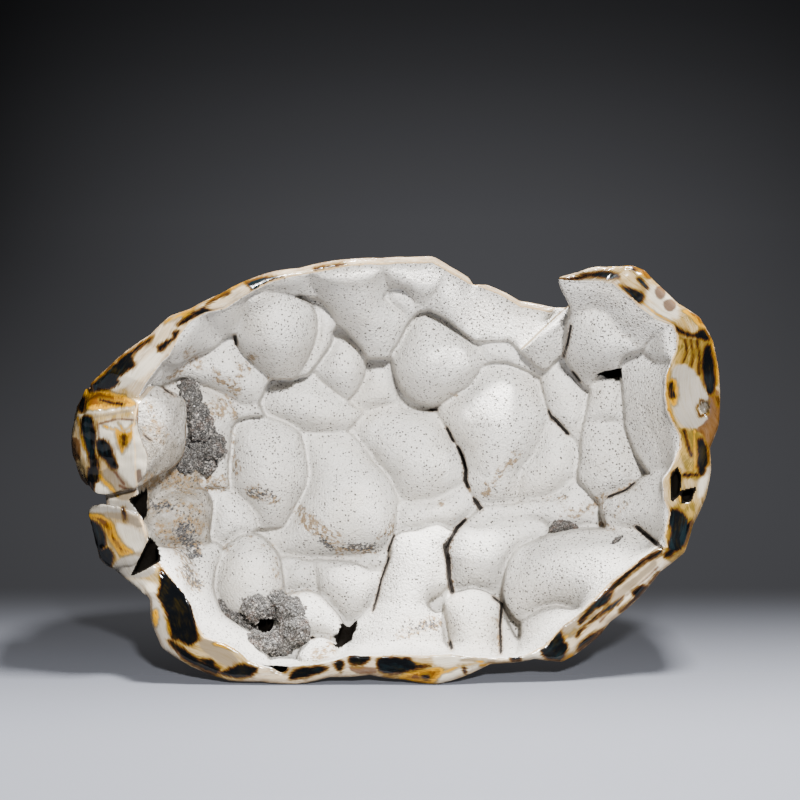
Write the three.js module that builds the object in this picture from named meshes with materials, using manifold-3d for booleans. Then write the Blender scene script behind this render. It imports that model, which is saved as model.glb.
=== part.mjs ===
// Agate geode: one open stone lined with domes, two crystal crusts and two small chips.
// Millimetres, +Z up, the mouth towards -Y.

import * as THREE from "three";
import { ConvexGeometry } from "three/addons/geometries/ConvexGeometry.js";
import { mergeVertices } from "three/addons/utils/BufferGeometryUtils.js";
import Module from "manifold-3d";

// Size of the stone: the mouth is about 217 mm wide, so a picture pixel is a third of a millimetre there
const MM_PER_PIXEL = 1 / 3;
const PICTURE_MIDDLE = 400;
const EYE_DISTANCE = 1000;
const LEAN_BACK = 12;
const STONE_DEPTH = 79;
const HOLLOW_DEPTH = 60;
const BOWL_MIDDLE = [395, 470];
const REST_HEIGHT = -95.2;

// Roundness of the stone's back and of the hollow, as exponents of a superellipse
const BACK_ROUNDNESS = 3.2;
const HOLLOW_ROUNDNESS = 2.4;
const BACK_RISE_PER_DEGREE = 0.9;
const LEAST_WALL = 7;

// Gap between pieces that touch
const CONTACT_GAP = 0.4;

// Outer edge of the mouth, clockwise from the left: picture across, picture down, depth of the edge in mm
const OUTER_EDGE = [
  [102, 440, 8], [98, 415, 8], [92, 398, 5], [90, 384, 2], [105, 370, 0], [125, 352, 0],
  [150, 335, 0], [170, 316, 0], [190, 309, 0], [220, 294, 0], [245, 281, 0], [275, 271, 1],
  [300, 268, 2], [350, 259, 5], [380, 258, 9], [410, 257, 16], [433, 256, 21], [450, 266, 25],
  [469, 277, 30], [473, 284, 32], [488, 284, 35], [520, 300, 38], [550, 306, 39], [566, 308, 39],
  [622, 266, 0], [632, 265, 0], [645, 270, 0], [655, 281, 0], [678, 303, 1], [700, 317, 2],
  [713, 340, 3], [719, 370, 4], [719, 425, 5], [710, 448, 5], [711, 470, 5], [706, 497, 5],
  [693, 525, 5], [685, 552, 5], [660, 572, 5], [640, 597, 5], [610, 622, 4], [600, 635, 4],
  [575, 655, 3], [562, 662, 3], [535, 659, 2], [490, 664, 1], [460, 678, 0], [435, 685, 0],
  [405, 680, 0], [370, 675, 0], [330, 677, 0], [295, 685, 0], [262, 682, 0], [230, 681, 0],
  [190, 666, 0], [162, 648, 0], [151, 622, 0], [150, 600, 2], [140, 585, 6], [122, 560, 8],
  [112, 530, 8], [106, 500, 8], [103, 470, 8],
];

// Inner edge of the polished rim, clockwise from the left: picture across, picture down
const INNER_EDGE = [
  [136, 450], [134, 430], [140, 395], [161, 365], [170, 355], [180, 335], [190, 322],
  [205, 314], [225, 309], [240, 300], [255, 291], [270, 283], [290, 277], [310, 274],
  [330, 270], [350, 266], [380, 265], [410, 264], [433, 263], [450, 273], [469, 284],
  [500, 295], [520, 307], [550, 313], [566, 315], [603, 279], [612, 283], [620, 290],
  [640, 307], [652, 317], [672, 325], [677, 336], [676, 350], [670, 362], [665, 376],
  [664, 395], [666, 410], [671, 421], [679, 435], [680, 447], [672, 464], [661, 480],
  [663, 498], [669, 512], [664, 535], [666, 547], [655, 547], [640, 558], [610, 582],
  [588, 604], [562, 625], [545, 645], [525, 654], [450, 652], [400, 653], [350, 653],
  [330, 660], [300, 664], [265, 666], [250, 660], [240, 650], [225, 642], [205, 637],
  [198, 625], [193, 605], [185, 592], [170, 575], [158, 560], [146, 535], [138, 490],
];

// Domes of the hollow: picture across, picture down, radius in mm, then how far the middle is sunk
// behind the wall in radii, how tall the dome is for its width, and its depth where the wall doesn't set it
const DOMES = [
  { at: [190, 328], radius: 13 },
  { at: [222, 318], radius: 11 },
  { at: [275, 335], radius: 14.6, sunk: -0.1, tall: 1.1 },
  { at: [297, 336], radius: 13, sunk: 0.15, tall: 1.1 },
  { at: [341, 360], radius: 14, tall: 1.1 },
  { at: [380, 325], radius: 15 },
  { at: [338, 292], radius: 18 },
  { at: [398, 300], radius: 10 },
  { at: [424, 262], radius: 16, depth: 38 },
  { at: [482, 290], radius: 17, depth: 50 },
  { at: [365, 262], radius: 16, depth: 24 },
  { at: [300, 275], radius: 16, depth: 18 },
  { at: [543, 325], radius: 15, tall: 1.05, depth: 54 },
  { at: [503, 352], radius: 15, sunk: 0.4 },
  { at: [438, 358], radius: 17, sunk: 0, tall: 1.05 },
  { at: [376, 385], radius: 13 },
  { at: [303, 398], radius: 18 },
  { at: [350, 420], radius: 11 },
  { at: [232, 370], radius: 15 },
  { at: [212, 405], radius: 13 },
  { at: [266, 467], radius: 15, sunk: 0.2, tall: 1.3 },
  { at: [345, 498], radius: 20.5, sunk: 0.2, tall: 1.05 },
  { at: [420, 455], radius: 16.5, sunk: 0.1 },
  { at: [393, 434], radius: 14, sunk: 0.3 },
  { at: [507, 412], radius: 18, sunk: 0.2 },
  { at: [545, 455], radius: 14.5, sunk: 0.2 },
  { at: [500, 460], radius: 16, sunk: 0.2 },
  { at: [463, 412], radius: 13, sunk: 0.3 },
  { at: [434, 508], radius: 14, sunk: 0.3 },
  { at: [570, 395], radius: 15 },
  { at: [603, 342], radius: 15, depth: 34 },
  { at: [662, 340], radius: 10 },
  { at: [611, 405], radius: 12, sunk: 0.2 },
  { at: [648, 392], radius: 15, sunk: 0.2 },
  { at: [610, 455], radius: 15, sunk: 0.2 },
  { at: [658, 440], radius: 13, sunk: 0.3 },
  { at: [592, 460], radius: 16, sunk: 0.5 },
  { at: [640, 508], radius: 15, sunk: 0.1 },
  { at: [608, 515], radius: 11, sunk: 0.3 },
  { at: [572, 590], radius: 22, depth: 28 },
  { at: [632, 565], radius: 14, sunk: 0.2 },
  { at: [550, 642], radius: 13, sunk: 0.1 },
  { at: [492, 565], radius: 17, sunk: 0.3 },
  { at: [538, 522], radius: 18, sunk: 0.5 },
  { at: [474, 622], radius: 10.5, sunk: 0.1, tall: 1.1 },
  { at: [414, 562], radius: 13.5, sunk: 0.2 },
  { at: [402, 625], radius: 16, sunk: 0.2 },
  { at: [345, 590], radius: 13, sunk: 0.3 },
  { at: [372, 572], radius: 10 },
  { at: [298, 577], radius: 9 },
  { at: [314, 622], radius: 11.5, sunk: 0.2 },
  { at: [322, 658], radius: 7 },
  { at: [250, 572], radius: 12.5, sunk: 0.2 },
  { at: [248, 602], radius: 11, sunk: 0.1 },
  { at: [195, 522], radius: 15 },
  { at: [232, 512], radius: 12 },
  { at: [190, 572], radius: 14 },
  { at: [215, 622], radius: 13 },
  { at: [185, 480], radius: 12 },
  { at: [290, 548], radius: 9 },
  { at: [270, 636], radius: 12, depth: 25 },
];
const DOME_SUNK = 0.45;
const DOME_DEPTH_PER_RADIUS = 0.85;
const DOME_BEHIND_RIM = 1.5;
const WIDE_DOME = 20;
const MIDDLE_DOME = 15.5;
const SMALL_DOME = 13;

// Corners of the broken lump on the left, of the lower lump and the bridge under it:
// picture across, picture down, depth in mm
const UPPER_LUMP = [
  [86, 413, -2], [104, 406, -3], [135, 404, -2], [148, 425, -2], [150, 462, -2], [137, 488, 0],
  [112, 498, 1], [92, 492, 2], [74, 458, 4], [68, 440, 6], [78, 400, 8], [90, 384, 6],
  [136, 386, 5], [162, 384, 7], [184, 398, 15], [189, 440, 20], [180, 464, 18], [165, 474, 12],
  [82, 400, 34], [80, 480, 34], [185, 400, 40], [180, 466, 38],
];
const LOWER_LUMP = [
  [86, 512, 3], [100, 501, 1], [128, 506, -1], [146, 521, 1], [151, 543, 3], [140, 562, 4],
  [118, 573, 4], [101, 563, 5], [93, 540, 5], [92, 510, 34], [100, 560, 34], [145, 525, 34],
  [140, 560, 34],
];
const LUMP_BRIDGE = [
  [112, 564, 7], [150, 558, 6], [166, 575, 5], [160, 600, 3], [148, 601, 4], [124, 581, 7],
  [112, 564, 30], [166, 575, 36], [160, 600, 36], [150, 558, 30],
];

// Corners of the wing at the upper right, which stands in front of the notch
const WING = [
  [555, 281, 1], [558, 276, 0], [570, 277, 0], [581, 275, 0], [590, 270, 0], [605, 266, 0],
  [622, 265, 0], [603, 278, 0], [612, 283, 0], [620, 290, 0], [562, 294, 4], [570, 307, 14],
  [600, 314, 18], [634, 318, 18], [570, 307, 30], [562, 292, 14], [560, 279, 8], [605, 268, 13],
  [630, 267, 13], [634, 318, 34], [612, 292, 26], [647, 273, 1], [647, 273, 14], [643, 298, 1],
];
const RIGHT_SPIKE = [
  [705, 456, 5], [713, 463, 7], [714, 470, 9], [706, 488, 5], [704, 456, 20], [711, 466, 18],
  [704, 488, 20],
];

// Open gaps and pits: the outline in the picture, then the depths in mm between which it is cut
const GAPS = [
  { outline: [[338, 644], [341, 625], [350, 625], [359, 619], [352, 632], [347, 640]], depths: [8, 40] },
  { outline: [[598, 375], [608, 370], [618, 367], [620, 373], [617, 378], [609, 374]], depths: [24, 56] },
  { outline: [[131, 500], [147, 492], [151, 505], [143, 516]], depths: [-6, 24] },
  { outline: [[150, 540], [156, 546], [159, 560], [146, 568], [134, 573]], depths: [-6, 22] },
  { outline: [[683, 502], [682, 492], [694, 489], [690, 500]], depths: [-2, 11] },
  { outline: [[673, 499], [672, 478], [677, 470], [680, 478], [678, 495]], depths: [-2, 8] },
  { outline: [[270, 667], [290, 668], [282, 673]], depths: [-3, 9] },
  { outline: [[700, 404], [706, 401], [710, 408], [705, 415], [700, 411]], depths: [-2, 7] },
];

// Crystal crusts: middle of each cluster in the picture and its radius in mm
const LEFT_CRUST = [
  [189, 386, 3.4], [190, 399, 4.2], [197, 414, 4.2], [202, 428, 4.6], [212, 446, 5],
  [198, 448, 5], [186, 460, 4.4], [204, 462, 4.6],
];
const FLOOR_CRUST = [
  [222, 609, 3.4], [233, 618, 4.2], [246, 624, 5], [256, 608, 5], [275, 604, 5],
  [291, 613, 5.4], [295, 630, 5.4], [280, 643, 5.2], [260, 643, 5],
];
const CRUST_PROUD = 0.1;
const CRUST_HOLE = { at: [264, 624], radius: 2.6 };
const CRYSTAL_JITTER = 0.14;

// Chips: corners in the picture and the depth of the skin behind them in mm
const UPPER_CHIP = {
  outline: [[549, 531], [556, 518], [568, 517], [574, 524], [580, 529], [565, 533]],
  thickness: 3,
};
const LOWER_CHIP = {
  outline: [[609, 549], [611, 541], [618, 537], [623, 536], [618, 543]],
  thickness: 2.2,
};

const wasm = await Module();
wasm.setup();
const { Manifold, Mesh } = wasm;

// A closed manifold solid from a three.js geometry
function solid(geometry) {
  const bare = geometry.clone();
  bare.deleteAttribute("normal");
  bare.deleteAttribute("uv");
  const merged = mergeVertices(bare, 1e-4);
  const mesh = new Mesh({
    numProp: 3,
    vertProperties: new Float32Array(merged.attributes.position.array),
    triVerts: new Uint32Array(merged.index.array),
  });
  return new Manifold(mesh);
}

// A three.js geometry from a manifold solid
function geometryOf(shape) {
  const mesh = shape.getMesh();
  const geometry = new THREE.BufferGeometry();
  geometry.setAttribute("position", new THREE.BufferAttribute(mesh.vertProperties, 3));
  geometry.setIndex(new THREE.BufferAttribute(mesh.triVerts, 1));
  return geometry;
}

function joined(shapes) {
  return shapes.reduce((whole, shape) => whole.add(shape));
}

// The point that the eye sees at a place in the picture, at a depth behind the mouth
function seen(across, down, depth) {
  const spread = (MM_PER_PIXEL * (EYE_DISTANCE + depth)) / EYE_DISTANCE;
  return new THREE.Vector3(
    (across - PICTURE_MIDDLE) * spread,
    (PICTURE_MIDDLE - down) * spread,
    -depth,
  );
}

// An edge as radius and depth for every angle round the middle of the bowl
function edgeByAngle(points) {
  const turns = points
    .map(([across, down, depth = 0]) => {
      const right = across - BOWL_MIDDLE[0];
      const up = BOWL_MIDDLE[1] - down;
      return { angle: Math.atan2(up, right), radius: Math.hypot(right, up) * MM_PER_PIXEL, depth };
    })
    .sort((one, other) => one.angle - other.angle);
  const first = turns[0];
  const last = turns[turns.length - 1];
  const circle = [
    { ...last, angle: last.angle - 2 * Math.PI },
    ...turns,
    { ...first, angle: first.angle + 2 * Math.PI },
  ];
  return (angle) => {
    const wrapped = Math.atan2(Math.sin(angle), Math.cos(angle));
    const next = circle.findIndex((turn, index) => index > 0 && turn.angle >= wrapped);
    const [before, after] = [circle[next - 1], circle[next]];
    const part = (wrapped - before.angle) / (after.angle - before.angle);
    return {
      radius: THREE.MathUtils.lerp(before.radius, after.radius, part),
      depth: THREE.MathUtils.lerp(before.depth, after.depth, part),
    };
  };
}

const outerEdge = edgeByAngle(OUTER_EDGE);
const innerEdge = edgeByAngle(INNER_EDGE);

// Radius left of a superellipse at a depth, as a share of its full radius
function share(depth, fullDepth, roundness) {
  const part = THREE.MathUtils.clamp(depth / fullDepth, 0, 1);
  return (1 - part ** roundness) ** (1 / roundness);
}

// Low swells of the stone's back, from 0 to 1
function swell(angle, depth) {
  const wave = Math.sin(3 * angle + 0.05 * depth) + Math.sin(5 * angle - 0.09 * depth + 1.3);
  const fine = 0.5 * Math.sin(9 * angle + 0.16 * depth + 0.4);
  return (wave + fine + 2.5) / 5;
}

// The stone's radius behind the rim, where the outline's bumps and the wing have run out
function backRadius(angle) {
  let least = Infinity;
  for (let degrees = -30; degrees <= 30; degrees += 3) {
    const beside = outerEdge(angle + THREE.MathUtils.degToRad(degrees)).radius;
    least = Math.min(least, beside + BACK_RISE_PER_DEGREE * Math.abs(degrees));
  }
  return least;
}

function stoneRadius(angle, depth) {
  const edge = outerEdge(angle);
  const turned = share(depth, STONE_DEPTH, BACK_ROUNDNESS) / share(edge.depth, STONE_DEPTH, BACK_ROUNDNESS);
  const behind = THREE.MathUtils.smoothstep(depth - edge.depth, 0, 36);
  const swollen = THREE.MathUtils.smoothstep(depth - edge.depth, 3, 26);
  const below = THREE.MathUtils.smoothstep(-Math.sin(angle), 0.5, 0.9);
  const blended = THREE.MathUtils.lerp(edge.radius, backRadius(angle), behind);
  const rounded = blended * Math.min(turned, 1) * (1 - 0.06 * swollen * (1 - 0.7 * below) * swell(angle, depth));
  return Math.min(edge.radius, Math.max(rounded, hollowRadius(angle, depth) + LEAST_WALL * behind));
}

// The hollow's wall: radius at a depth, and depth at a radius
function wallShare(depth, rimDepth) {
  const left = (1 - (depth / HOLLOW_DEPTH) ** 2) / (1 - (rimDepth / HOLLOW_DEPTH) ** 2);
  return Math.max(left, 0) ** (1 / HOLLOW_ROUNDNESS);
}

function hollowRadius(angle, depth) {
  const edge = innerEdge(angle).radius;
  return Math.min(edge, 1.02 * edge * wallShare(depth, outerEdge(angle).depth));
}

function wallDepth(across, down) {
  const right = across - BOWL_MIDDLE[0];
  const up = BOWL_MIDDLE[1] - down;
  const angle = Math.atan2(up, right);
  const rim = outerEdge(angle).depth;
  const part = (Math.hypot(right, up) * MM_PER_PIXEL) / (1.02 * innerEdge(angle).radius);
  const left = (1 - (rim / HOLLOW_DEPTH) ** 2) * part ** HOLLOW_ROUNDNESS;
  return HOLLOW_DEPTH * Math.sqrt(Math.max(1 - left, 0));
}

// A body turned about the bowl's middle: rings of [radius, depth] for every angle, the ends on the axis
function turnedBody(ringAt, rings, steps) {
  const profile = Array.from({ length: rings }, (_, ring) => {
    const ends = ring === 0 || ring === rings - 1;
    return new THREE.Vector2(ends ? 0 : 1, ring);
  });
  const lathe = new THREE.LatheGeometry(profile, steps);
  const place = lathe.attributes.position;
  const middle = seen(...BOWL_MIDDLE, 0);
  for (let index = 0; index < place.count; index += 1) {
    const angle = Math.atan2(place.getZ(index), place.getX(index));
    const ring = Math.round(place.getY(index));
    const { radius, depth } = ringAt(ring, angle);
    const spread = (EYE_DISTANCE + depth) / EYE_DISTANCE;
    place.setXYZ(
      index,
      (middle.x + radius * Math.cos(angle)) * spread,
      (middle.y + radius * Math.sin(angle)) * spread,
      -depth,
    );
  }
  return solid(lathe);
}

const STONE_STEPS = 72;
const STONE_SHARES = [0, 0.08, 0.22, 0.4, 0.58, 0.75, 0.88, 0.97];
const HOLLOW_STEPS = 60;
const HOLLOW_SHARES = [0, 0.2, 0.5, 0.8];

function makeStoneBody() {
  const rings = STONE_SHARES.length + 3;
  return turnedBody(
    (ring, angle) => {
      const edge = outerEdge(angle);
      if (ring === 0) return { radius: 0, depth: 4 };
      if (ring === 1) return { radius: 0.75 * innerEdge(angle).radius, depth: edge.depth };
      if (ring === rings - 1) return { radius: 0, depth: STONE_DEPTH };
      const depth = THREE.MathUtils.lerp(edge.depth, STONE_DEPTH, STONE_SHARES[ring - 2]);
      return { radius: stoneRadius(angle, depth), depth };
    },
    rings,
    STONE_STEPS,
  );
}

function makeHollow() {
  const rings = HOLLOW_SHARES.length + 3;
  return turnedBody(
    (ring, angle) => {
      const edge = outerEdge(angle);
      if (ring === 0) return { radius: 0, depth: -30 };
      if (ring === 1) return { radius: innerEdge(angle).radius, depth: -30 };
      if (ring === rings - 1) return { radius: 0, depth: HOLLOW_DEPTH };
      const depth = THREE.MathUtils.lerp(edge.depth, HOLLOW_DEPTH, HOLLOW_SHARES[ring - 2]);
      return { radius: hollowRadius(angle, depth), depth };
    },
    rings,
    HOLLOW_STEPS,
  );
}

// The depth of a dome's middle: behind the wall, and wholly behind the rim
function domeDepth({ at, radius, sunk = DOME_SUNK, depth }) {
  if (depth !== undefined) return depth;
  const angle = Math.atan2(BOWL_MIDDLE[1] - at[1], at[0] - BOWL_MIDDLE[0]);
  const clear = outerEdge(angle).depth + DOME_DEPTH_PER_RADIUS * radius + DOME_BEHIND_RIM;
  return Math.max(wallDepth(...at) + sunk * radius, clear);
}

// A ball with more facets the wider it is
function domeBall(radius) {
  if (radius >= WIDE_DOME) return new THREE.IcosahedronGeometry(radius, 3);
  if (radius >= MIDDLE_DOME) return new THREE.IcosahedronGeometry(radius, 2);
  if (radius >= SMALL_DOME) return new THREE.OctahedronGeometry(radius, 3);
  return new THREE.IcosahedronGeometry(radius, 1);
}

function makeDome(dome) {
  const { at, radius, tall = 1 } = dome;
  const ball = domeBall(radius);
  ball.scale(1, tall, DOME_DEPTH_PER_RADIUS);
  const middle = seen(...at, domeDepth(dome));
  ball.translate(middle.x, middle.y, middle.z);
  return solid(ball);
}

// The depth of the visible skin at a place in the picture
function skinDepth(across, down) {
  let nearest = wallDepth(across, down);
  for (const dome of DOMES) {
    const middle = domeDepth(dome);
    const spread = (MM_PER_PIXEL * (EYE_DISTANCE + middle)) / EYE_DISTANCE;
    const right = ((across - dome.at[0]) * spread) / dome.radius;
    const up = ((down - dome.at[1]) * spread) / (dome.radius * (dome.tall ?? 1));
    const left = 1 - right * right - up * up;
    if (left > 0) {
      nearest = Math.min(nearest, middle - DOME_DEPTH_PER_RADIUS * dome.radius * Math.sqrt(left));
    }
  }
  return nearest;
}

function makeBlock(corners) {
  return solid(new ConvexGeometry(corners.map(([across, down, depth]) => seen(across, down, depth))));
}

function makeGap({ outline, depths }) {
  const corners = depths.flatMap((depth) => outline.map(([across, down]) => seen(across, down, depth)));
  return solid(new ConvexGeometry(corners));
}

// Repeatable scatter from 0 to 1 for a point of a crystal
function scatter(x, y, z) {
  const mixed = Math.sin(x * 12.99 + y * 78.23 + z * 37.72) * 43758.5;
  return mixed - Math.floor(mixed);
}

// One crust: crystals with flat faces set in the skin, with a hole where one is given
function makeCrust(clusters, grow, hole) {
  const balls = clusters.map(([across, down, radius]) => {
    const ball = new THREE.IcosahedronGeometry(1, 0);
    ball.rotateX(across);
    ball.rotateY(down);
    const place = ball.attributes.position;
    for (let index = 0; index < place.count; index += 1) {
      const [x, y, z] = [place.getX(index), place.getY(index), place.getZ(index)];
      const key = [x, y, z].map((part) => Math.round(part * 100) / 100);
      const length = radius * (1 + CRYSTAL_JITTER * (scatter(...key) - 0.5)) + grow;
      place.setXYZ(index, x * length, y * length, z * length);
    }
    const middle = seen(across, down, skinDepth(across, down) - CRUST_PROUD * radius);
    ball.translate(middle.x, middle.y, middle.z);
    return solid(ball);
  });
  const crust = joined(balls);
  if (!hole) return crust;
  const corners = [];
  for (let corner = 0; corner < 8; corner += 1) {
    const turn = (corner * Math.PI) / 4;
    const across = hole.at[0] + (hole.radius / MM_PER_PIXEL) * Math.cos(turn);
    const down = hole.at[1] + (hole.radius / MM_PER_PIXEL) * Math.sin(turn);
    corners.push(seen(across, down, -10), seen(across, down, 70));
  }
  return crust.subtract(solid(new ConvexGeometry(corners)));
}

// One chip: a rough slab that follows the skin, grown a little for its socket
function makeChip({ outline, thickness }, grow) {
  const middle = outline.reduce(([x, y], [across, down]) => [x + across, y + down], [0, 0]);
  const [across, down] = middle.map((sum) => sum / outline.length);
  const depth = skinDepth(across, down);
  const corners = outline.flatMap(([x, y]) => {
    const [wide, high] = [x - across, y - down];
    const reach = Math.hypot(wide, high);
    const out = 1 + grow / MM_PER_PIXEL / reach;
    return [
      seen(across + wide * out, down + high * out, depth - 0.3 * thickness),
      seen(across + wide * out, down + high * out, depth + 0.9 * thickness + grow),
    ];
  });
  corners.push(seen(across + 1, down - 1, depth - thickness - grow));
  return solid(new ConvexGeometry(corners));
}

// The stone in the mouth's own frame, with sockets for what is grown on it
const hollow = makeHollow().subtract(joined(DOMES.map(makeDome)));
const sockets = [
  makeCrust(LEFT_CRUST, CONTACT_GAP),
  makeCrust(FLOOR_CRUST, CONTACT_GAP),
  makeChip(UPPER_CHIP, CONTACT_GAP),
  makeChip(LOWER_CHIP, CONTACT_GAP),
];
const lumps = [UPPER_LUMP, LOWER_LUMP, LUMP_BRIDGE, WING, RIGHT_SPIKE].map(makeBlock);
const uncut = joined([makeStoneBody().subtract(hollow), ...lumps])
  .subtract(joined(GAPS.map(makeGap)))
  .subtract(joined(sockets));

// Leaned back as it rests, and cut flat where it stands
function leaned(shape) {
  return shape.rotate([90 - LEAN_BACK, 0, 0]);
}

const floorSlab = new THREE.BoxGeometry(400, 400, 100);
const restZ = REST_HEIGHT * Math.cos(THREE.MathUtils.degToRad(LEAN_BACK));
floorSlab.translate(0, 0, restZ - 50);
const pieces = leaned(uncut).subtract(solid(floorSlab)).decompose();
const stone = pieces.reduce((best, piece) => (piece.volume() > best.volume() ? piece : best));
const bounds = stone.boundingBox();
const shift = [
  -(bounds.min[0] + bounds.max[0]) / 2,
  -(bounds.min[1] + bounds.max[1]) / 2,
  -bounds.min[2],
];

function piece(name, shape, colour, roughness) {
  const material = new THREE.MeshStandardMaterial({ color: colour, roughness, metalness: 0 });
  const mesh = new THREE.Mesh(geometryOf(shape.translate(shift)), material);
  mesh.name = name;
  return mesh;
}

const geode = new THREE.Group();
geode.add(piece("geode", stone, 0xe8e2d8, 0.55));
geode.add(piece("drusy_crust_left", leaned(makeCrust(LEFT_CRUST, 0)), 0x8d8279, 0.8));
geode.add(piece("drusy_crust_floor", leaned(makeCrust(FLOOR_CRUST, 0, CRUST_HOLE)), 0x857a72, 0.8));
geode.add(piece("crust_chip_upper", leaned(makeChip(UPPER_CHIP, 0)), 0x6f655d, 0.85));
geode.add(piece("crust_chip_lower", leaned(makeChip(LOWER_CHIP, 0)), 0x6f655d, 0.85));

export default geode;
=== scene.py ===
import itertools
import math

import bmesh
import bpy
import numpy as np
import openvdb as vdb
from bpy.props import FloatProperty, FloatVectorProperty, IntProperty, PointerProperty
from mathutils import Matrix, Vector


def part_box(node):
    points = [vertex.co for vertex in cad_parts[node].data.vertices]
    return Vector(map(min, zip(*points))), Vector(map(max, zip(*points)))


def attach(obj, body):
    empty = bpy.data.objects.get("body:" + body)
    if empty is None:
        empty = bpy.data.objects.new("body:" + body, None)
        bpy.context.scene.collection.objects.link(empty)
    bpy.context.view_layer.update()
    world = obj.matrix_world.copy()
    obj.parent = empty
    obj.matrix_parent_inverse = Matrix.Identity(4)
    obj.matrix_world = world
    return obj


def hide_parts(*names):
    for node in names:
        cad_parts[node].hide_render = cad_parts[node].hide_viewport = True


bl_info = {
    "name": "Agate geode",
    "version": (1, 0, 0),
    "blender": (4, 5, 0),
    "location": "3D View > Sidebar > Geode",
    "description": "An open agate geode with a polished rim, chalcedony domes and drusy crusts",
    "category": "Add Mesh",
}

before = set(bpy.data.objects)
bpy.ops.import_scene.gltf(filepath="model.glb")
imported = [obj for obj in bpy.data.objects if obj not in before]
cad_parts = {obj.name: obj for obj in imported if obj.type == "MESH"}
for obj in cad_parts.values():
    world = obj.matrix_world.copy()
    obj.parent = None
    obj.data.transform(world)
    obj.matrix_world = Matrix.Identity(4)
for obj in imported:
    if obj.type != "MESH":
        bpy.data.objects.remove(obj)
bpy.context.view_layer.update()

# ---- The stone's own measures, in millimetres and picture places, as the solids have them

MM_PER_PIXEL = 1 / 3
PICTURE_MIDDLE = 400
EYE_DISTANCE = 1000.0
LEAN = math.radians(12)
STONE_DEPTH = 79.0
HOLLOW_DEPTH = 60.0
BOWL_MIDDLE = (395, 470)
REST_HEIGHT = -95.2
BACK_ROUNDNESS = 3.2
HOLLOW_ROUNDNESS = 2.4
BACK_RISE_PER_DEGREE = 0.9
LEAST_WALL = 7.0
STONE_SHIFT = (1.94, -28.64, 93.12)

# Outer edge of the mouth, clockwise from the left: picture across, picture down, depth of the edge
OUTER_EDGE = [
    (102, 440, 8), (98, 415, 8), (92, 398, 5), (90, 384, 2), (105, 370, 0), (125, 352, 0),
    (150, 335, 0), (170, 316, 0), (190, 309, 0), (220, 294, 0), (245, 281, 0), (275, 271, 1),
    (300, 268, 2), (350, 259, 5), (380, 258, 9), (410, 257, 16), (433, 256, 21), (450, 266, 25),
    (469, 277, 30), (473, 284, 32), (488, 284, 35), (520, 300, 38), (550, 306, 39), (566, 308, 39),
    (622, 266, 0), (632, 265, 0), (645, 270, 0), (655, 281, 0), (678, 303, 1), (700, 317, 2),
    (713, 340, 3), (719, 370, 4), (719, 425, 5), (710, 448, 5), (711, 470, 5), (706, 497, 5),
    (693, 525, 5), (685, 552, 5), (660, 572, 5), (640, 597, 5), (610, 622, 4), (600, 635, 4),
    (575, 655, 3), (562, 662, 3), (535, 659, 2), (490, 664, 1), (460, 678, 0), (435, 685, 0),
    (405, 680, 0), (370, 675, 0), (330, 677, 0), (295, 685, 0), (262, 682, 0), (230, 681, 0),
    (190, 666, 0), (162, 648, 0), (151, 622, 0), (150, 600, 2), (140, 585, 6), (122, 560, 8),
    (112, 530, 8), (106, 500, 8), (103, 470, 8),
]

# Inner edge of the polished rim, clockwise from the left
INNER_EDGE = [
    (136, 450), (134, 430), (140, 395), (161, 365), (170, 355), (180, 335), (190, 322),
    (205, 314), (225, 309), (240, 300), (255, 291), (270, 283), (290, 277), (310, 274),
    (330, 270), (350, 266), (380, 265), (410, 264), (433, 263), (450, 273), (469, 284),
    (500, 295), (520, 307), (550, 313), (566, 315), (603, 279), (612, 283), (620, 290),
    (640, 307), (652, 317), (672, 325), (677, 336), (676, 350), (670, 362), (665, 376),
    (664, 395), (666, 410), (671, 421), (679, 435), (680, 447), (672, 464), (661, 480),
    (663, 498), (669, 512), (664, 535), (666, 547), (655, 547), (640, 558), (610, 582),
    (588, 604), (562, 625), (545, 645), (525, 654), (450, 652), (400, 653), (350, 653),
    (330, 660), (300, 664), (265, 666), (250, 660), (240, 650), (225, 642), (205, 637),
    (198, 625), (193, 605), (185, 592), (170, 575), (158, 560), (146, 535), (138, 490),
]

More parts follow.
